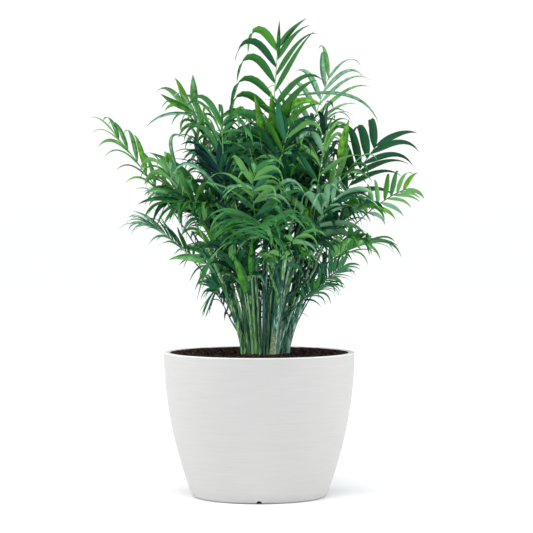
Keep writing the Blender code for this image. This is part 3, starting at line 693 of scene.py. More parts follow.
def shade_pot(mesh):
    """Give the notches' own faces the dark look, a painted shadow, and the lip the light one, a painted
    highlight.
    """
    for face in mesh.polygons:
        if any(in_notch(face, turn) for turn in notch_turns()):
            face.material_index = NOTCH_SHADOW_LOOK
        if face.center.z > POT_HEIGHT - POT_LIP_ROUND:
            face.material_index = LIP_LIGHT_LOOK
    mesh.set_sharp_from_angle(angle=POT_SHARP)


def build_pot():
    # The notches' painted shadow and the lip's painted highlight
    dark = new_material("notch_shadow", NOTCH_SHADOW, 0.8)
    lip = new_material("pot_lip", LIP_PAINTED_LIGHT, 0.5)
    piece = Joined("pot_shell", "pot_white", [pot_material(), dark, lip], POT_SHARP, ["pot"])
    piece.add(turned(pot_profile(), POT_SEGMENTS), WALL_LOOK)
    pot = piece.make()
    cut_foot_notches(pot)
    shade_pot(pot.data)


def soil_height(x, y):
    """The soil's top is crumbly, and rises to the pot's lip at its edge."""
    bumps = sum(noise.noise(Vector((x, y, cut)) * scale) * share for cut, scale, share in SOIL_GRAINS)
    edge = max(0.0, hypot(x, y) / inner_radius(SOIL_TOP) - SOIL_FLAT) / (1.0 - SOIL_FLAT)
    rise = SOIL_EDGE_RISE * edge * edge * (3.0 - 2.0 * edge)
    return SOIL_TOP + rise + SOIL_BUMPS * (bumps - 0.25) * (1.0 - 0.5 * edge)


def soil_shape():
    """Soil that fills the pot, with fine rings on its top."""
    rings = ring_heights(POT_FLOOR + GAP, SOIL_TOP, 8)
    profile = [(0.0, POT_FLOOR + GAP)]
    profile += [(inner_radius(height) - GAP, height) for height in rings]
    edge = profile[-1][0]
    profile += [(edge * (1.0 - ring / SOIL_RINGS), SOIL_TOP) for ring in range(1, SOIL_RINGS)]
    profile.append((0.0, SOIL_TOP))
    points, faces = turned(profile, POT_SEGMENTS)
    for point in points:
        if point.z > SOIL_TOP - 0.0001:
            point.z = soil_height(point.x, point.y)
    return points, faces


def crumb(chance, middle, least, most):
    """An uneven lump of eight faces that lies on the soil between two distances from a middle."""
    reach = least + (most - least) * sqrt(chance.uniform(0.0, 1.0))
    turn = chance.uniform(0.0, 2.0 * pi)
    size = chance.uniform(*CRUMB_SIZES) * chance.uniform(0.5, 1.0)
    x, y = middle.x + reach * cos(turn), middle.y + reach * sin(turn)
    centre = Vector((x, y, min(soil_height(x, y) + size * 0.2, POT_HEIGHT - size)))
    roll = chance.uniform(0.0, 6.28)
    turned_by = Matrix.Rotation(roll, 3, Vector((chance.random(), chance.random(), 1.0)))
    points = []
    for axis in range(3):
        for sign in (-1.0, 1.0):
            corner = Vector((0.0, 0.0, 0.0))
            corner[axis] = sign * size * chance.uniform(0.6, 1.2)
            points.append(centre + turned_by @ corner)
    faces = [(x_end, y_end, z_end) for x_end in (0, 1) for y_end in (2, 3) for z_end in (4, 5)]
    faces = [face if (face[0] + face[1] + face[2]) % 2 else face[::-1] for face in faces]
    return points, faces


def build_crumbs(canes):
    looks = [
        varied_material(name, color, roughness, 0.3, 300.0, specular=SOIL_SPECULAR)
        for name, color, roughness in CRUMB_LOOKS
    ]
    crumbs = Joined("soil_crumbs", "soil", looks, CRUMB_SHARP)
    chance = random.Random("crumbs")
    middle = Vector((0.0, 0.0, 0.0))
    edge = inner_radius(SOIL_TOP) - CRUMB_FROM_WALL
    for _ in range(CRUMBS):
        crumbs.add(crumb(chance, middle, 0.0, edge), chance.choice(CRUMB_DEAL))
    for cane in canes:
        for _ in range(FOOT_CRUMBS):
            crumbs.add(crumb(chance, cane.foot, *FOOT_CRUMB_RING), chance.choice(FOOT_CRUMB_DEAL))
    crumbs.make()


def build_soil(canes):
    earth = varied_material("soil_earth", SOIL_COLOR, 0.95, 0.50, 200.0, 0.5, SOIL_SPECULAR)
    piece = Joined("soil_bed", "soil", [earth], SOIL_SHARP, ["soil"])
    piece.add(soil_shape(), 0)
    piece.make()
    build_crumbs(canes)


def make_canes():
    canes = []
    for index in range(CANE_COUNT):
        chance = random.Random(f"cane-{index}")
        outward = sqrt((index + 0.5) / CANE_COUNT)
        away = away_at(GOLDEN_ANGLE * index)
        share = index / (CANE_COUNT - 1)
        height = CANE_TALLEST + (CANE_SHORTEST - CANE_TALLEST) * share + chance.uniform(*CANE_HEIGHTS)
        angle = CANE_LEAN * outward * chance.uniform(*CANE_LEANS)
        foot = Vector((CLUMP_X, 0.0, SOIL_TOP + GAP)) + away * CLUMP_RADIUS * outward
        canes.append(Cane(f"cane_{index + 1:02d}", foot, height, away * tan(angle) * height))
    return canes


def cane_point(cane, share):
    """The middle of a cane at a share of its height."""
    return cane.foot + UP * (cane.height * share) + cane.lean * max(share, 0.0) ** CANE_BEND


def cane_direction(cane, share):
    return (UP * cane.height + cane.lean * (CANE_BEND * share ** (CANE_BEND - 1.0))).normalized()


def cane_radius(cane, share):
    radius = CANE_FOOT_RADIUS + (CANE_TOP_RADIUS - CANE_FOOT_RADIUS) * share
    flare = max(0.0, 1.0 - share * cane.height / CANE_FLARE_HEIGHT)
    return radius * (1.0 + (CANE_FLARE - 1.0) * flare)


def sheath_share(height, slant, offset):
    """How far up its old leaf sheath a place on a cane lies, from 0 at the foot to 1 at the edge."""
    return ((height + slant + offset) / SHEATH_SPACING) % 1.0


def add_cane(piece, cane, look, foot_look):
    """A cane with fine lengthwise ridges, wrapped in sheaths whose slanted edges stand out a little."""
    chance = random.Random(f"{cane.name} sheaths")
    offset = chance.uniform(0.0, SHEATH_SPACING)
    phase = chance.uniform(0.0, 2.0 * pi)
    runs = round(cane.height / CANE_RING_RUN)
    centres = [cane_point(cane, max(0, ring) / runs) for ring in range(-1, runs + 1)]
    centres[0] = cane.foot - UP * STEM_SINK
    radii = [cane_radius(cane, max(0, ring) / runs) for ring in range(-1, runs + 1)]
    points, faces = tube(centres, radii, CANE_SIDES)
    shares = []
    for index, point in enumerate(points):
        ring, side = divmod(index, CANE_SIDES)
        turn = 2.0 * pi * side / CANE_SIDES
        height = max(0, ring - 1) * CANE_RING_RUN
        share = sheath_share(height, SHEATH_SLANT * cos(turn - phase), offset)
        ridge = noise.noise(away_at(turn) * RIDGE_CROWDING + UP * (height * RIDGE_RUN + phase))
        swell = 1.0 + SHEATH_SWELL * (share ** 2 - SHEATH_LEVEL) + CANE_RIDGES * ridge
        points[index] = centres[ring] + (point - centres[ring]) * swell
        shares.append(share)
    looks = []
    for face in faces[:-2]:
        share = max(shares[corner] for corner in face)
        low = face[0] // CANE_SIDES * CANE_RING_RUN < SPECKLED_HEIGHT
        looks.append(SHEATH_EDGE if share > SHEATH_EDGE_FROM else foot_look if low else look)
    piece.add((points, faces), looks + [look, look])


def stem(foot, height, lean, bend, radius, taper):
    """A thin stem that rises from its foot, leans over more and more, and thins towards its tip."""
    centres = []
    radii = []
    for step in range(STEM_RUNS + 1):
        rise = UP * (height * step / STEM_RUNS)
        centres.append(foot + rise + lean * (step / STEM_RUNS) ** bend)
        radii.append(radius * (1.0 - taper * step / STEM_RUNS))
    return tube(centres, radii, FINE_RIB_SIDES)


def strand(cane, away, chance):
    """A slender leaf base that clings to one side of a cane and parts from it a little at its top."""
    start = chance.uniform(*STRAND_STARTS)
    length = chance.uniform(*STRAND_LENGTHS)
    radius = chance.uniform(*STRAND_RADII)
    parting = chance.uniform(*STRAND_PARTINGS)
    centres = []
    radii = []
    for step in range(STEM_RUNS + 1):
        share = step / STEM_RUNS
        place = min(1.0, max(0.0, start + length * share))
        out = cane_radius(cane, place) * (0.75 + 0.35 * sin(pi * min(1.0, share * 2.0) / 2.0))
        aside = away * (out + parting * share ** 3)
        centres.append(cane_point(cane, place) + aside + UP * (0.001 * share))
        radii.append(radius * (1.0 - STALK_TAPER * share))
    return tube(centres, radii, FINE_RIB_SIDES)


def add_strands(piece, cane, looks):
    for index in range(STRANDS):
        chance = random.Random(f"{cane.name} strand {index}")
        turn = 2.0 * pi * (index + chance.uniform(-0.3, 0.3)) / STRANDS
        piece.add(strand(cane, away_at(turn), chance), chance.choice(looks))


def add_stalks(piece):
    """Thin leaf stalks that rise from the soil among the canes and fan out at the clump's sides."""
    for index in range(STALKS):
        chance = random.Random(f"stalk {index}")
        away = away_at(GOLDEN_ANGLE * (index + 0.5))
        outward = sqrt((index + 0.5) / STALKS)
        if away.y * outward < STALKS_FRONT:
            continue
        foot = Vector((CLUMP_X, 0.0, SOIL_TOP - STEM_SINK)) + away * STALKS_RADIUS * outward
        height = chance.uniform(*STALK_HEIGHTS)
        lean = away * height * outward * chance.uniform(*STALK_LEANS)
        radius = chance.uniform(*STALK_RADII) + INNER_STALK_SWELL * (1.0 - outward)
        shape = stem(foot, height, lean, STALK_BEND, radius, STALK_TAPER)
        piece.add(shape, chance.choice(STALK_DEAL))


def add_front_stems(piece):
    """Slender stems at the clump's front, which fan out to both sides."""
    for index in range(FRONT_STEMS):
        chance = random.Random(f"front stem {index}")
        side = index / (FRONT_STEMS - 1) - 0.5
        out = FRONT_STEMS_OUT * sqrt(1.0 - 2.4 * side * side)
        foot = Vector((CLUMP_X + FRONT_STEMS_WIDTH * side, -out, SOIL_TOP - STEM_SINK))
        height = chance.uniform(*FRONT_STEM_HEIGHTS)
        aside = FRONT_STEMS_FAN * side + chance.uniform(*FRONT_STEM_SIDEWAYS)
        lean = Vector((aside, chance.uniform(*FRONT_STEM_FORWARD), 0.0))
        radius = chance.uniform(*FRONT_STEM_RADII)
        shape = stem(foot, height, lean, FRONT_STEM_BEND, radius, FRONT_STEM_TAPER)
        piece.add(shape, FRONT_STEM_DEAL[index])


def cane_look(cane):
    return CANE_BRIGHT if cane.name in BRIGHT_CANES else CANE_PALE if cane.name in PALE_CANES else CANE_DEEP


def build_canes(canes):
    """Bright green canes at the left, deep ones in the middle, partly painted shade, and pale bluish ones at
    the right.
    """
    looks = [streaked_material(name, dark, light) for name, (dark, light) in CANE_SKINS.items()]
    looks.append(varied_material("cane_edge", SHEATH_EDGE_COLOR, 0.60, 0.40, 90.0, 0.3))
    looks.append(varied_material("cane_speckled", SPECKLED_COLOR, 0.60, 0.60, 480.0, 0.3))
    piece = Joined("canes", "cane", looks, STEM_SHARP, [cane.name for cane in canes])
    for cane in canes:
        look = cane_look(cane)
        if cane.name == SPECKLED_CANE:
            add_cane(piece, cane, look, SPECKLED)
        else:
            add_cane(piece, cane, look, look)
            add_strands(piece, cane, STRAND_DEALS[look])
    add_stalks(piece)
    add_front_stems(piece)
    piece.make()


def nearest_cane(canes, turn, used):
    """The cane farthest out on this side, where one that bears many fronds counts as farther in."""
    away = away_at(turn)

    def cost(index):
        return used[index] * CROWDING - canes[index].foot.dot(away)

    return min(range(len(canes)), key=cost)


def tier_fronds(canes, tiers, used, width):
    """Tiers of fronds turned by the golden angle, so the crown is as full behind as in front."""
    fronds = []
    for tier in tiers:
        for index in range(tier.count):
            name = f"{tier.name}_{index + 1}"
            chance = random.Random(name)
            turn = radians(tier.first_turn) + GOLDEN_ANGLE * index
            reach = tier.reach * chance.uniform(*TIER_REACHES)
            height = tier.height + chance.uniform(*TIER_HEIGHTS)
            tip = (CLUMP_X + reach * cos(turn), reach * sin(turn), height)
            cane = nearest_cane(canes, turn, used)
            used[cane] += 1
            leave = canes[cane].height * min(1.05, tier.leave + 0.08 * (used[cane] % 3 - 1))
            fronds.append(Frond(
                name, cane, leave, tip, tier.arch, TIER_BARE, TIER_PAIRS,
                tier.leaf * chance.uniform(*TIER_LEAVES), width, TIER_SPREAD,
                tuple(tier.droop * chance.uniform(*TIER_DROOPS) for _ in range(2)),
                chance.uniform(*TIER_ROLLS),
            ))
    return fronds


def rib_foot(frond, cane, leave):
    """The middle of a rib's foot, which stands just clear of its cane's side or tip."""
    on_top = leave >= cane.height
    share = 1.0 if on_top else leave / cane.height
    centre = cane_point(cane, share)
    heading = Vector(frond.tip) - centre
    heading += UP * (2.0 * frond.arch * heading.length)
    heading.normalize()
    if on_top:
        out = cane_direction(cane, 1.0)
        clear = GAP
    else:
        out = Vector((heading.x, heading.y, 0.0)).normalized()
        clear = cane_radius(cane, share) + GAP
    tilt = sqrt(max(0.0, 1.0 - heading.dot(out) ** 2))
    return centre + out * (clear + RIB_FOOT_RADIUS * tilt)


def rib_curve(frond, cane, leave, sway):
    """A rib's foot, the point that pulls it into an arch, and its tip."""
    foot = rib_foot(frond, cane, leave)
    tip = Vector(frond.tip)
    chord = tip - foot
    sideways = chord.cross(UP).normalized()
    pull = foot + chord * 0.5 + UP * (frond.arch * chord.length) + sideways * (sway * chord.length)
    return foot, pull, tip


def curve_point(curve, share):
    foot, pull, tip = curve
    return foot.lerp(pull, share).lerp(pull.lerp(tip, share), share)


def curve_direction(curve, share):
    foot, pull, tip = curve
    return (pull.lerp(tip, share) - foot.lerp(pull, share)).normalized()


def rib_radius(share):
    return RIB_FOOT_RADIUS + (RIB_TIP_RADIUS - RIB_FOOT_RADIUS) * share ** 0.7


def straight_run_point(curve, share):
    """A place on the model's rib, which runs straight between its rings."""
    ring = min(int(share * RIB_RUNS), RIB_RUNS - 1)
    start = curve_point(curve, ring / RIB_RUNS)
    end = curve_point(curve, (ring + 1) / RIB_RUNS)
    return start.lerp(end, share * RIB_RUNS - ring)


def leaf_size(place):
    """Share of the longest leaflet's length, by the place from the lowest pair to the last."""
    return 0.62 + 0.38 * sin(pi * (0.22 + 0.70 * place))


def leaflet_at(frond, curve, pair, side):
    """One leaflet of the frond. A pair of a half lies between two of the model's own."""
    outward = Vector((frond.tip[0] - CLUMP_X, frond.tip[1], 0.0)).normalized()
    level = UP.cross(outward)
    chance = random.Random(f"{frond.name}-{pair}-{side}")
    place = min(max((pair + LEAF_SIDE_STEP * side) / frond.pairs, 0.0), 1.0)
    share = frond.bare + (LEAF_LAST - frond.bare) * place
    along = curve_direction(curve, share)
    sideways = (level - along * level.dot(along)).normalized()
    sideways = Matrix.Rotation(radians(frond.roll), 3, along) @ sideways
    face = along.cross(sideways)
    lowest, highest = frond.spread
    spread = lowest + (highest - lowest) * place + chance.uniform(*LEAF_SPREADS)
    return Leaflet(
        straight_run_point(curve, share), rib_radius(share), along, sideways * side, face,
        frond.leaf * leaf_size(place) * chance.uniform(*LEAF_LENGTHS),
        frond.width * chance.uniform(*LEAF_WIDTHS),
        spread, frond.droop[side > 0] * chance.uniform(*LEAF_DROOPS),
    )


def leaflet_path(leaflet, attempt, levelling=1.0):
    """Points, directions and width axes along a leaflet that rises from the rib and then droops.

    Levelling says how far the blade turns its face up towards its tip.
    """
    turn, more_spread, more_droop = attempt
    spread = radians(leaflet.spread + more_spread)
    rise = LEAF_RISE + radians(turn)
    outward = leaflet.side * cos(rise) + leaflet.face * sin(rise)
    start = leaflet.along * cos(spread) + outward * sin(spread)
    first_width = leaflet.along * sin(spread) - outward * cos(spread)
    droop = max(0.1, leaflet.droop + more_droop)
    point = leaflet.root.copy()
    path = []
    for step in range(LEAF_STEPS + 1):
        share = step / LEAF_STEPS
        along = (start - UP * (droop * share ** LEAF_DROOP_POWER)).normalized()
        level = along.cross(UP)
        if level.dot(first_width) < 0.0:
            level = -level
        turned_share = levelling * share * share * (3.0 - 2.0 * share)
        width_axis = first_width.lerp(level, turned_share)
        width_axis = (width_axis - along * width_axis.dot(along)).normalized()
        path.append((point.copy(), along, width_axis))
        point += along * (leaflet.length / LEAF_STEPS)
    return path


# Across a leaflet: the place from edge to edge, and how far the top stands over or under the fold
BLADE_PLACES = (-1.0, -0.66, -0.33, 0.0, 0.33, 0.66, 1.0)
BLADE_PLEATS = (0.0, 0.10, -0.06, 0.06, -0.06, 0.10, 0.0)
BLADE_FOLD = 0.34
BLADE_UNDER = (0.5, 0.0, -0.5)
# The side of each face round the blade: 0 on top, 1 underneath and 2 along the top's one edge, which is
# painted in shade
BLADE_SIDES = [2, 2, 0, 0, 0, 0, 1, 1, 1, 1]
BLADE_THICKNESS = 0.00035
BLADE_RUNS = 12
# The smaller the fullness, the nearer to its root a leaflet is widest, and the longer its thin tip
BLADE_FULLNESS = 0.68
BLADE_EDGE = 0.95


def blade_width(share):
    """Share of the full width along a lance-shaped leaflet."""
    body = sin(pi * share ** BLADE_FULLNESS) ** BLADE_EDGE if 0.0 < share < 1.0 else 0.0
    root = 0.20 * max(0.0, 1.0 - share / 0.12)
    return max(body, root)


def blade_ring(share, width, stage, sign):
    """Points round a folded and pleated blade at one stage of its path, first those on its top."""
    centre, along, width_axis = stage
    upward = along.cross(width_axis) * sign
    half = width * 0.5 * blade_width(share)
    fold = BLADE_FOLD * (1.0 - 0.6 * share)
    pleats = zip(BLADE_PLACES, BLADE_PLEATS)
    spots = [(place, half * (fold * abs(place) + pleat)) for place, pleat in pleats]
    thickness = BLADE_THICKNESS * (1.0 - 0.5 * share)
    spots += [(place, half * fold * abs(place) - thickness - half * 0.03) for place in BLADE_UNDER]
    return [centre + width_axis * (half * place) + upward * lift for place, lift in spots]


def blade_solid(path, face, width):
    """A thin blade along a path, as points, faces and the side of each face."""
    points = []
    first_along, first_width = path[0][1:]
    sign = 1.0 if first_along.cross(first_width).dot(face) > 0.0 else -1.0
    for ring in range(BLADE_RUNS):
        stage = path[ring * LEAF_STEPS // BLADE_RUNS]
        points += blade_ring(ring / BLADE_RUNS, width, stage, sign)
    points.append(path[-1][0].copy())
    size = len(BLADE_SIDES)
    faces = [tuple(range(size))]
    for low in range(0, size * (BLADE_RUNS - 1), size):
        for step in range(size):
            after = (step + 1) % size
            faces.append((low + step, low + size + step, low + size + after, low + after))
    last = size * (BLADE_RUNS - 1)
    faces += [(last + step, last + size, last + (step + 1) % size) for step in range(size)]
    if sign > 0.0:
        faces = [corners[::-1] for corners in faces]
    return points, faces, [0] + BLADE_SIDES * BLADE_RUNS


def node_of(frond):
    return f"frond_{frond.name}"


def node_surface(node):
    mesh = frame["nodes"][node].data
    points = [vertex.co.copy() for vertex in mesh.vertices]
    return BVHTree.FromPolygons(points, [tuple(face.vertices) for face in mesh.polygons])


def distance_to(surface, points):
    return max(surface.find_nearest(point)[3] for point in points)


def rib_test_points(curve):
    """Corners of the model's three-sided rib in its bare lower part."""
    shares = [ring / RIB_RUNS for ring in range(RIB_RUNS + 1)]
    centres = [curve_point(curve, share) for share in shares]
    points, _ = tube(centres, [rib_radius(share) for share in shares], 3)
    return points[:9]


def rib_candidates(frond, canes):
    wanted = canes[frond.cane]
    nearby = sorted(canes, key=lambda cane: (cane.foot - wanted.foot).length)[:RIB_CANES]
    for cane in nearby:
        for move in RIB_MOVES + (cane.height,):
            leave = max(LOWEST_LEAVE, frond.leave + move)
            for sway in RIB_SWAYS:
                yield cane, leave, rib_curve(frond, cane, leave, sway)


def find_rib(frond, canes, surface):
    """The cane, height and curve that the model's own rib took."""
    def misfit(candidate):
        return distance_to(surface, rib_test_points(candidate[2]))

    return min(rib_candidates(frond, canes), key=misfit)


def solid_shares(frond):
    """Where along its leaflets the model has corners, apart from root and tip."""
    return BENT_SHARES if frond in SHOWN_FRONDS and frond.leaf > SMALL_LEAF else PLAIN_SHARES


def find_attempt(frond, leaflet, surface):
    """How the model's own leaflet was turned to stay clear, or None where it was left out."""
    def misfit(attempt):
        path = leaflet_path(leaflet, attempt)
        corners = [path[round(share * LEAF_STEPS)][0] for share in solid_shares(frond)]
        return distance_to(surface, corners + [path[-1][0]])

    best = min(LEAF_TRIES, key=misfit)
    return best if misfit(best) < LEAF_FOUND else None


def loosened(path, leaflet, chance, looseness, more_hang):
    """Let a leaflet's outer part hang, swing and twist a little, as no two of them are alike."""
    hang = more_hang + LEAF_HANG * looseness * chance.uniform(0.0, 1.0) ** 2
    swing = LEAF_SWING * looseness * chance.uniform(-1.0, 1.0)
    twist = LEAF_TWIST * looseness * chance.uniform(-1.0, 1.0)
    point = path[0][0].copy()
    loose = []
    for step, (_, along, width_axis) in enumerate(path):
        share = step / LEAF_STEPS
        along = (along - UP * (hang * share ** 3) + width_axis * (swing * share ** 2)).normalized()
        width_axis = (width_axis - along * width_axis.dot(along)).normalized()
        width_axis = Matrix.Rotation(twist * share, 3, along) @ width_axis
        loose.append((point.copy(), along, width_axis))
        point += along * (leaflet.length / LEAF_STEPS)
    return loose


def crossings(frond, chance):
    """How many more ribbons grow across a place on the frond: most where it hangs at the front."""
    if frond in SHOWN_FRONDS:
        return int(frond.name in CROSSED_FRONDS and chance.random() < CROSSING_CHANCE)
    wanted = CROSSING_CHANCE + (FRONT_CROSSINGS if frond.tip[1] < 0.0 else 0.0)
    return int(wanted + chance.random())


def looseness_of(frond):
    """How freely a frond's leaflets differ from the model's."""
    if frond in SHOWN_FRONDS:
        looseness = SHOWN_LOOSENESS
    else:
        looseness = FRONT_LOOSENESS if frond.tip[1] < 0.0 else BACK_LOOSENESS
    return looseness * (2.0 if frond.name in DENSE_FRONDS + CROSSED_FRONDS else 1.0)


def crossing_blade(leaflet, chance, looseness):
    """A narrow ribbon that grows where a leaflet does, but another way."""
    turn = chance.uniform(*CROSSING_TURNS)
    ribbon = leaflet._replace(length=leaflet.length * chance.uniform(*CROSSING_LENGTHS))
    attempt = (turn, chance.uniform(*CROSSING_SPREADS), chance.uniform(*CROSSING_DROOPS))
    path = loosened(leaflet_path(ribbon, attempt), ribbon, chance, looseness, 0.0)
    return path, ribbon.face, ribbon.width * CROSSING_WIDTH


def frond_blades(frond, curve, attempts, chance):
    """Paths, faces and widths of a frond's leaflets: the model's own, and more between and across them."""
    blades = []
    shown = frond in SHOWN_FRONDS
    looseness = looseness_of(frond)
    fineness = SHOWN_WIDTHS.get(frond.name, SHOWN_WIDTH) if shown else FINE_WIDTH
    levelling = SHOWN_LEVELLING if shown else 1.0
    hangs = HOOKED_FRONDS.get(frond.name, (0.0, 0.0))
    for (pair, side), attempt in attempts.items():
        if attempt is None:
            continue
        hang = hangs[side > 0]
        leaflet = leaflet_at(frond, curve, pair, side)
        path = loosened(leaflet_path(leaflet, attempt, levelling), leaflet, chance, looseness, hang)
        blades.append((path, leaflet.face, leaflet.width * fineness))
        for _ in range(crossings(frond, chance)):
            blades.append(crossing_blade(leaflet, chance, looseness))
        if pair < frond.pairs and frond.name in DENSE_FRONDS:
            between = leaflet_at(frond, curve, pair + 0.5, side)
            between = between._replace(length=between.length * BETWEEN_LENGTH)
            path = loosened(leaflet_path(between, attempt, levelling), between, chance, looseness, hang)
            blades.append((path, between.face, between.width * fineness * BETWEEN_WIDTH))
    return blades


def is_inner(frond):
    return frond.name.startswith("inner")


def frond_green(frond, chance):
    """The look of a frond, with painted light and shade: bright ones high up and in front, deep ones low,
    inside and behind.
    """
    if frond.name in SHOWN_GREENS:
        return SHOWN_GREENS[frond.name]
    if is_inner(frond):
        return chance.choice(INNER_SHADE_DEAL)
    height = (frond.tip[2] - 0.30) / 0.42
    front = 0.5 - frond.tip[1] / 0.30
    lit = min(1.0, max(0.0, 0.75 * height + 0.25 * front))
    weights = [shaded + more * lit for shaded, more in GREEN_WEIGHTS]
    return chance.choices(range(len(LEAF_GREENS)), weights=weights)[0]


def leaflet_green(frond, green, chance):
    """Most leaflets have their frond's look, and some are a step brighter or deeper."""
    if chance.random() > TONE_CHANGES:
        return green
    near = frond in SHOWN_FRONDS or is_inner(frond)
    return chance.choice(NEAR_GREENS[green] if near else TIER_DEAL)


def blade_looks(green, sides):
    """The materials of a blade's faces: its green on top, a deeper one painted as shade at one edge, a duller
    one below.
    """
    looks = (green, green + len(LEAF_GREENS), SHADED_EDGE_GREENS[green])
    return [looks[side] for side in sides]


def rib_look(frond):
    # Ribs inside the crown take the deep skin as painted shade
    if is_inner(frond):
        return RIB_DEEP
    chance = random.Random(f"{frond.name} rib")
    return SHOWN_RIBS.get(frond.name, chance.choice((RIB_GREEN, RIB_DEEP, RIB_DEEP, RIB_LIGHT)))


def sheath_path(cane, leave, curve):
    """Centres and radii of the sheath from which a frond's stalk grows out of its cane."""
    length = (curve[2] - curve[0]).length
    height = min(leave, cane.height)
    base = cane_point(cane, height / cane.height)
    if height <= LOWEST_SHEATH:
        return [(base, RIB_FOOT_RADIUS * 0.8)]
    path = []
    for below in SHEATH_RINGS:
        share = max(0.0, height - below) / cane.height
        path.append((cane_point(cane, share), cane_radius(cane, share) + 0.0004))
    out_point = curve_point(curve, 0.010 / length)
    path.append((base.lerp(out_point, 0.45), cane_radius(cane, height / cane.height) * 0.95))
    path.append((curve_point(curve, 0.022 / length), RIB_FOOT_RADIUS * 0.95))
    return path


def add_petiole(ribs, frond, cane, leave, curve):
    """The stalk that grows out of a sheath round its cane and runs on as the frond's rib."""
    path = sheath_path(cane, leave, curve)
    first_share = 0.035 / (curve[2] - curve[0]).length
    for ring in range(FINE_RIB_RUNS + 1):
        share = ring / FINE_RIB_RUNS
        if share > first_share:
            path.append((curve_point(curve, share), rib_radius(share) * FINE_RIB_SHARE))
    centres, radii = zip(*path)
    ribs.add(tube(centres, radii, FINE_RIB_SIDES), rib_look(frond))


def add_spears(ribs, canes):
    """A young leaf that hasn't opened yet stands on the tip of each cane like a spear."""
    for index, cane in enumerate(canes):
        chance = random.Random(f"spear {index}")
        length = chance.uniform(*SPEAR_LENGTHS)
        along = cane_direction(cane, 1.0)
        start = cane_point(cane, 1.0) - along * 0.004
        lean = Vector((chance.uniform(*SPEAR_LEANS), chance.uniform(*SPEAR_LEANS), 0.0))
        shares = [step / SPEAR_RUNS for step in range(SPEAR_RUNS + 1)]
        centres = [start + (along + lean * share) * (length * share) for share in shares]
        radii = [CANE_TOP_RADIUS * (0.92 * (1.0 - share) ** 0.6 + 0.06) for share in shares]
        ribs.add(tube(centres, radii, FINE_RIB_SIDES), RIB_LIGHT)


def young_leaf(curve, width):
    """A leaf along a curve, its face turned to the front."""
    places = [curve_point(curve, step / 8) for step in range(9)]
    length = sum((after - before).length for before, after in zip(places, places[1:]))
    path = []
    for step in range(LEAF_STEPS + 1):
        along = curve_direction(curve, step / LEAF_STEPS)
        width_axis = along.cross(Vector((0.0, 1.0, -0.25))).normalized()
        path.append((curve_point(curve, step / LEAF_STEPS), along, width_axis))
    return blade_solid(path, Vector((0.0, -1.0, 0.3)), width * min(1.0, length / 0.05))


def add_young_stalk(ribs, leaf_root):
    """The stalk that carries a young leaf up from the soil at the clump's front."""
    foot = Vector((leaf_root.x * 0.5, -CLUMP_RADIUS * 0.8, SOIL_TOP - STEM_SINK))
    pull = Vector((leaf_root.x * 0.7, foot.y, foot.z + (leaf_root.z - foot.z) * 0.6))
    thickest, thinnest = YOUNG_STALK_RADII
    centres = [curve_point((foot, pull, leaf_root), step / STEM_RUNS) for step in range(STEM_RUNS + 1)]
    radii = [thickest + (thinnest - thickest) * step / STEM_RUNS for step in range(STEM_RUNS + 1)]
    ribs.add(tube(centres, radii, FINE_RIB_SIDES), RIB_LIGHT)


def leaf_materials():
    """The greens for the leaflets' tops, and then a duller one of each for their undersides."""
    looks = []
    for name, color in LEAF_GREENS.items():
        looks.append(varied_material(name, color, 0.38, 0.45, 130.0, 0.0, LEAF_SPECULAR))
    for name, color in LEAF_GREENS.items():
        under = tinted(color, 1.1)
        looks.append(varied_material(f"{name}_under", under, 0.5, 0.16, 22.0, 0.0, LEAF_SPECULAR))
    return looks


def all_fronds(canes):
    """The model's fronds, and then those that fill the crown and the clump."""
    used = [0] * len(canes)
    for frond in SHOWN_FRONDS:
        used[frond.cane] += 1
    fronds = list(SHOWN_FRONDS) + tier_fronds(canes, TIERS, used, TIER_LEAF_WIDTH)
    fronds += tier_fronds(canes, INNER_TIERS, used, INNER_WIDTH)
    return fronds + [
        frond for frond in tier_fronds(canes, BASE_TIERS, used, BASE_WIDTH)
        if frond.tip[1] > BASE_FRONT or abs(frond.tip[0] - CLUMP_X) > BASE_SIDE
    ]


def grow(frond, canes):
    """A frond's cane, the height where it leaves it, its curve, and how each leaflet is turned.

    Those of the model's fronds are found again from its solids.
    """
    places = [(pair, side) for pair in range(frond.pairs + 1) for side in (-1, 1)]
    if is_inner(frond):
        cane = canes[frond.cane]
        leave = max(LOWEST_LEAVE, frond.leave)
        return cane, leave, rib_curve(frond, cane, leave, 0.0), dict.fromkeys(places, LEAF_TRIES[0])
    surface = node_surface(node_of(frond))
    cane, leave, curve = find_rib(frond, canes, surface)
    attempts = {place: find_attempt(frond, leaflet_at(frond, curve, *place), surface) for place in places}
    return cane, leave, curve, attempts


def add_frond(frond, canes, leaves, ribs):
    cane, leave, curve, attempts = grow(frond, canes)
    add_petiole(ribs, frond, cane, leave, curve)
    chance = random.Random(f"{frond.name} colour")
    green = frond_green(frond, chance)
    if not is_inner(frond):
        leaves.nodes.append(node_of(frond))
    for path, face, width in frond_blades(frond, curve, attempts, chance):
        tone = leaflet_green(frond, green, chance)
        points, faces, sides = blade_solid(path, face, width)
        leaves.add((points, faces), blade_looks(tone, sides))


def add_young_leaves(leaves, ribs):
    for index, (root, pull, tip, width, green) in enumerate(YOUNG_LEAVES):
        points, faces, sides = young_leaf((Vector(root), Vector(pull), Vector(tip)), width)
        leaves.add((points, faces), blade_looks(green, sides))
        if index < STALKED_LEAVES:
            add_young_stalk(ribs, Vector(root))


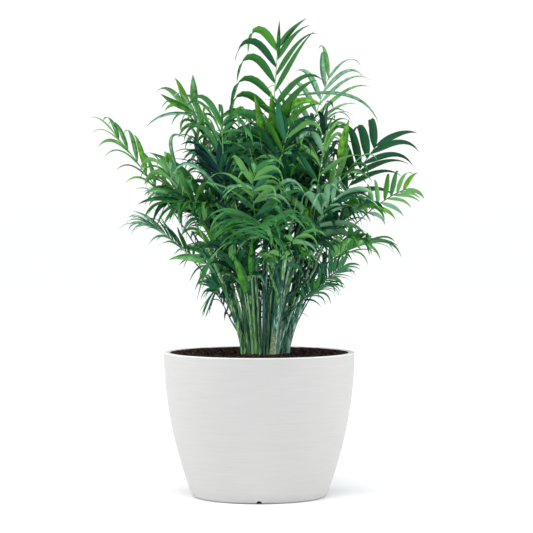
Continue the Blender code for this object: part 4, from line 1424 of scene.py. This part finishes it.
def build_foliage(canes):
    greens = leaf_materials()
    skins = [streaked_material(name, dark, light) for name, (dark, light) in RIB_SKINS.items()]
    ribs = Joined("ribs", "cane", skins, STEM_SHARP)
    pieces = []
    for frond in all_fronds(canes):
        if not is_inner(frond) and node_of(frond) not in frame["nodes"]:
            continue
        if not pieces or pieces[-1].triangles() > PIECE_FULL:
            pieces.append(Joined(f"leaflets_{len(pieces) + 1}", "leaf", greens, LEAF_SHARP))
        add_frond(frond, canes, pieces[-1], ribs)
    add_young_leaves(pieces[-1], ribs)
    add_spears(ribs, canes)
    for piece in [ribs] + pieces:
        piece.make()


# Lights, surround and floor
LAMP_COLOR = (1.0, 0.98, 0.94)
SUN_STRENGTH = 2.3
SUN_WIDTH = radians(45.0)
SUN_FROM = (-0.06, -0.45, 1.0)
# The surround dims between these heights, each the sine of an angle over the horizon
WORLD_WHITE_TO = 0.15
WORLD_DIM_FROM = 0.45
WORLD_DIM_COLOR = (0.30, 0.34, 0.38)
WORLD_STRENGTH = 1.03
SIDE_LIGHTS = {"left_light": (-2.5, 0.5, 1.4), "right_light": (2.6, 0.5, 1.3)}
SIDE_AIM = (0.0, 0.0, 0.40)
SIDE_SIZE = 1.2
SIDE_POWER = 30.0
FLOOR_WHITE = (0.98, 0.98, 0.98)
FLOOR_REACH = 60.0
FLOOR_HEIGHT = -0.0005


def add_light(name, light, direction):
    """Put a light in the scene that shines in this direction."""
    light.color = LAMP_COLOR
    lamp = new_object(name, light)
    lamp.rotation_euler = direction.to_track_quat("-Z", "Y").to_euler()
    return lamp


def build_lights():
    """A soft high light and a faint one from each side."""
    for name, place in SIDE_LIGHTS.items():
        light = bpy.data.lights.new(name, "AREA")
        light.shape = "SQUARE"
        light.size = SIDE_SIZE
        light.energy = SIDE_POWER
        lamp = add_light(name, light, Vector(SIDE_AIM) - Vector(place))
        lamp.location = place
    sun = bpy.data.lights.new("high_light", "SUN")
    sun.energy = SUN_STRENGTH
    sun.angle = SUN_WIDTH
    add_light("high_light", sun, -Vector(SUN_FROM))


def build_surround():
    """A surround that is white near the horizon and dimmer overhead."""
    world = bpy.data.worlds.new("studio")
    world.use_nodes = True
    nodes, links = world.node_tree.nodes, world.node_tree.links
    direction = nodes.new("ShaderNodeTexCoord")
    split = nodes.new("ShaderNodeSeparateXYZ")
    ramp = nodes.new("ShaderNodeValToRGB")
    set_stops(ramp, (WORLD_WHITE_TO, (1.0, 1.0, 1.0)), (WORLD_DIM_FROM, WORLD_DIM_COLOR))
    links.new(direction.outputs["Generated"], split.inputs["Vector"])
    links.new(split.outputs["Z"], ramp.inputs["Fac"])
    links.new(ramp.outputs["Color"], nodes["Background"].inputs["Color"])
    nodes["Background"].inputs["Strength"].default_value = WORLD_STRENGTH
    bpy.context.scene.world = world


def build_studio():
    """A pale floor, a surround and three lights."""
    mesh = bpy.data.meshes.new("floor")
    sides = ((-1, -1), (1, -1), (1, 1), (-1, 1))
    corners = [(x * FLOOR_REACH, y * FLOOR_REACH, FLOOR_HEIGHT) for x, y in sides]
    mesh.from_pydata(corners, [], [(0, 1, 2, 3)])
    mesh.materials.append(new_material("floor_white", FLOOR_WHITE, 0.9))
    floor = new_object("floor", mesh)
    build_surround()
    build_lights()


# Camera, fitted to the photo
CAMERA_X = 0.0113
CAMERA_HEIGHT = 0.475
CAMERA_DISTANCE = 3.76
AIM_HEIGHT = 0.3618
CAMERA_LENS = 161.3
SENSOR_WIDTH = 36.0


def build_camera():
    camera = bpy.data.cameras.new("camera")
    camera.lens = CAMERA_LENS
    camera.sensor_width = SENSOR_WIDTH
    viewer = new_object("camera", camera)
    viewer.location = (CAMERA_X, -CAMERA_DISTANCE, CAMERA_HEIGHT)
    aim = Vector((CAMERA_X, 0.0, AIM_HEIGHT)) - viewer.location
    viewer.rotation_euler = aim.to_track_quat("-Z", "Y").to_euler()
    bpy.context.scene.camera = viewer


bpy.context.scene.view_settings.view_transform = "Standard"
palm_canes = make_canes()
build_pot()
build_soil(palm_canes)
build_canes(palm_canes)
build_foliage(palm_canes)
build_studio()
build_camera()
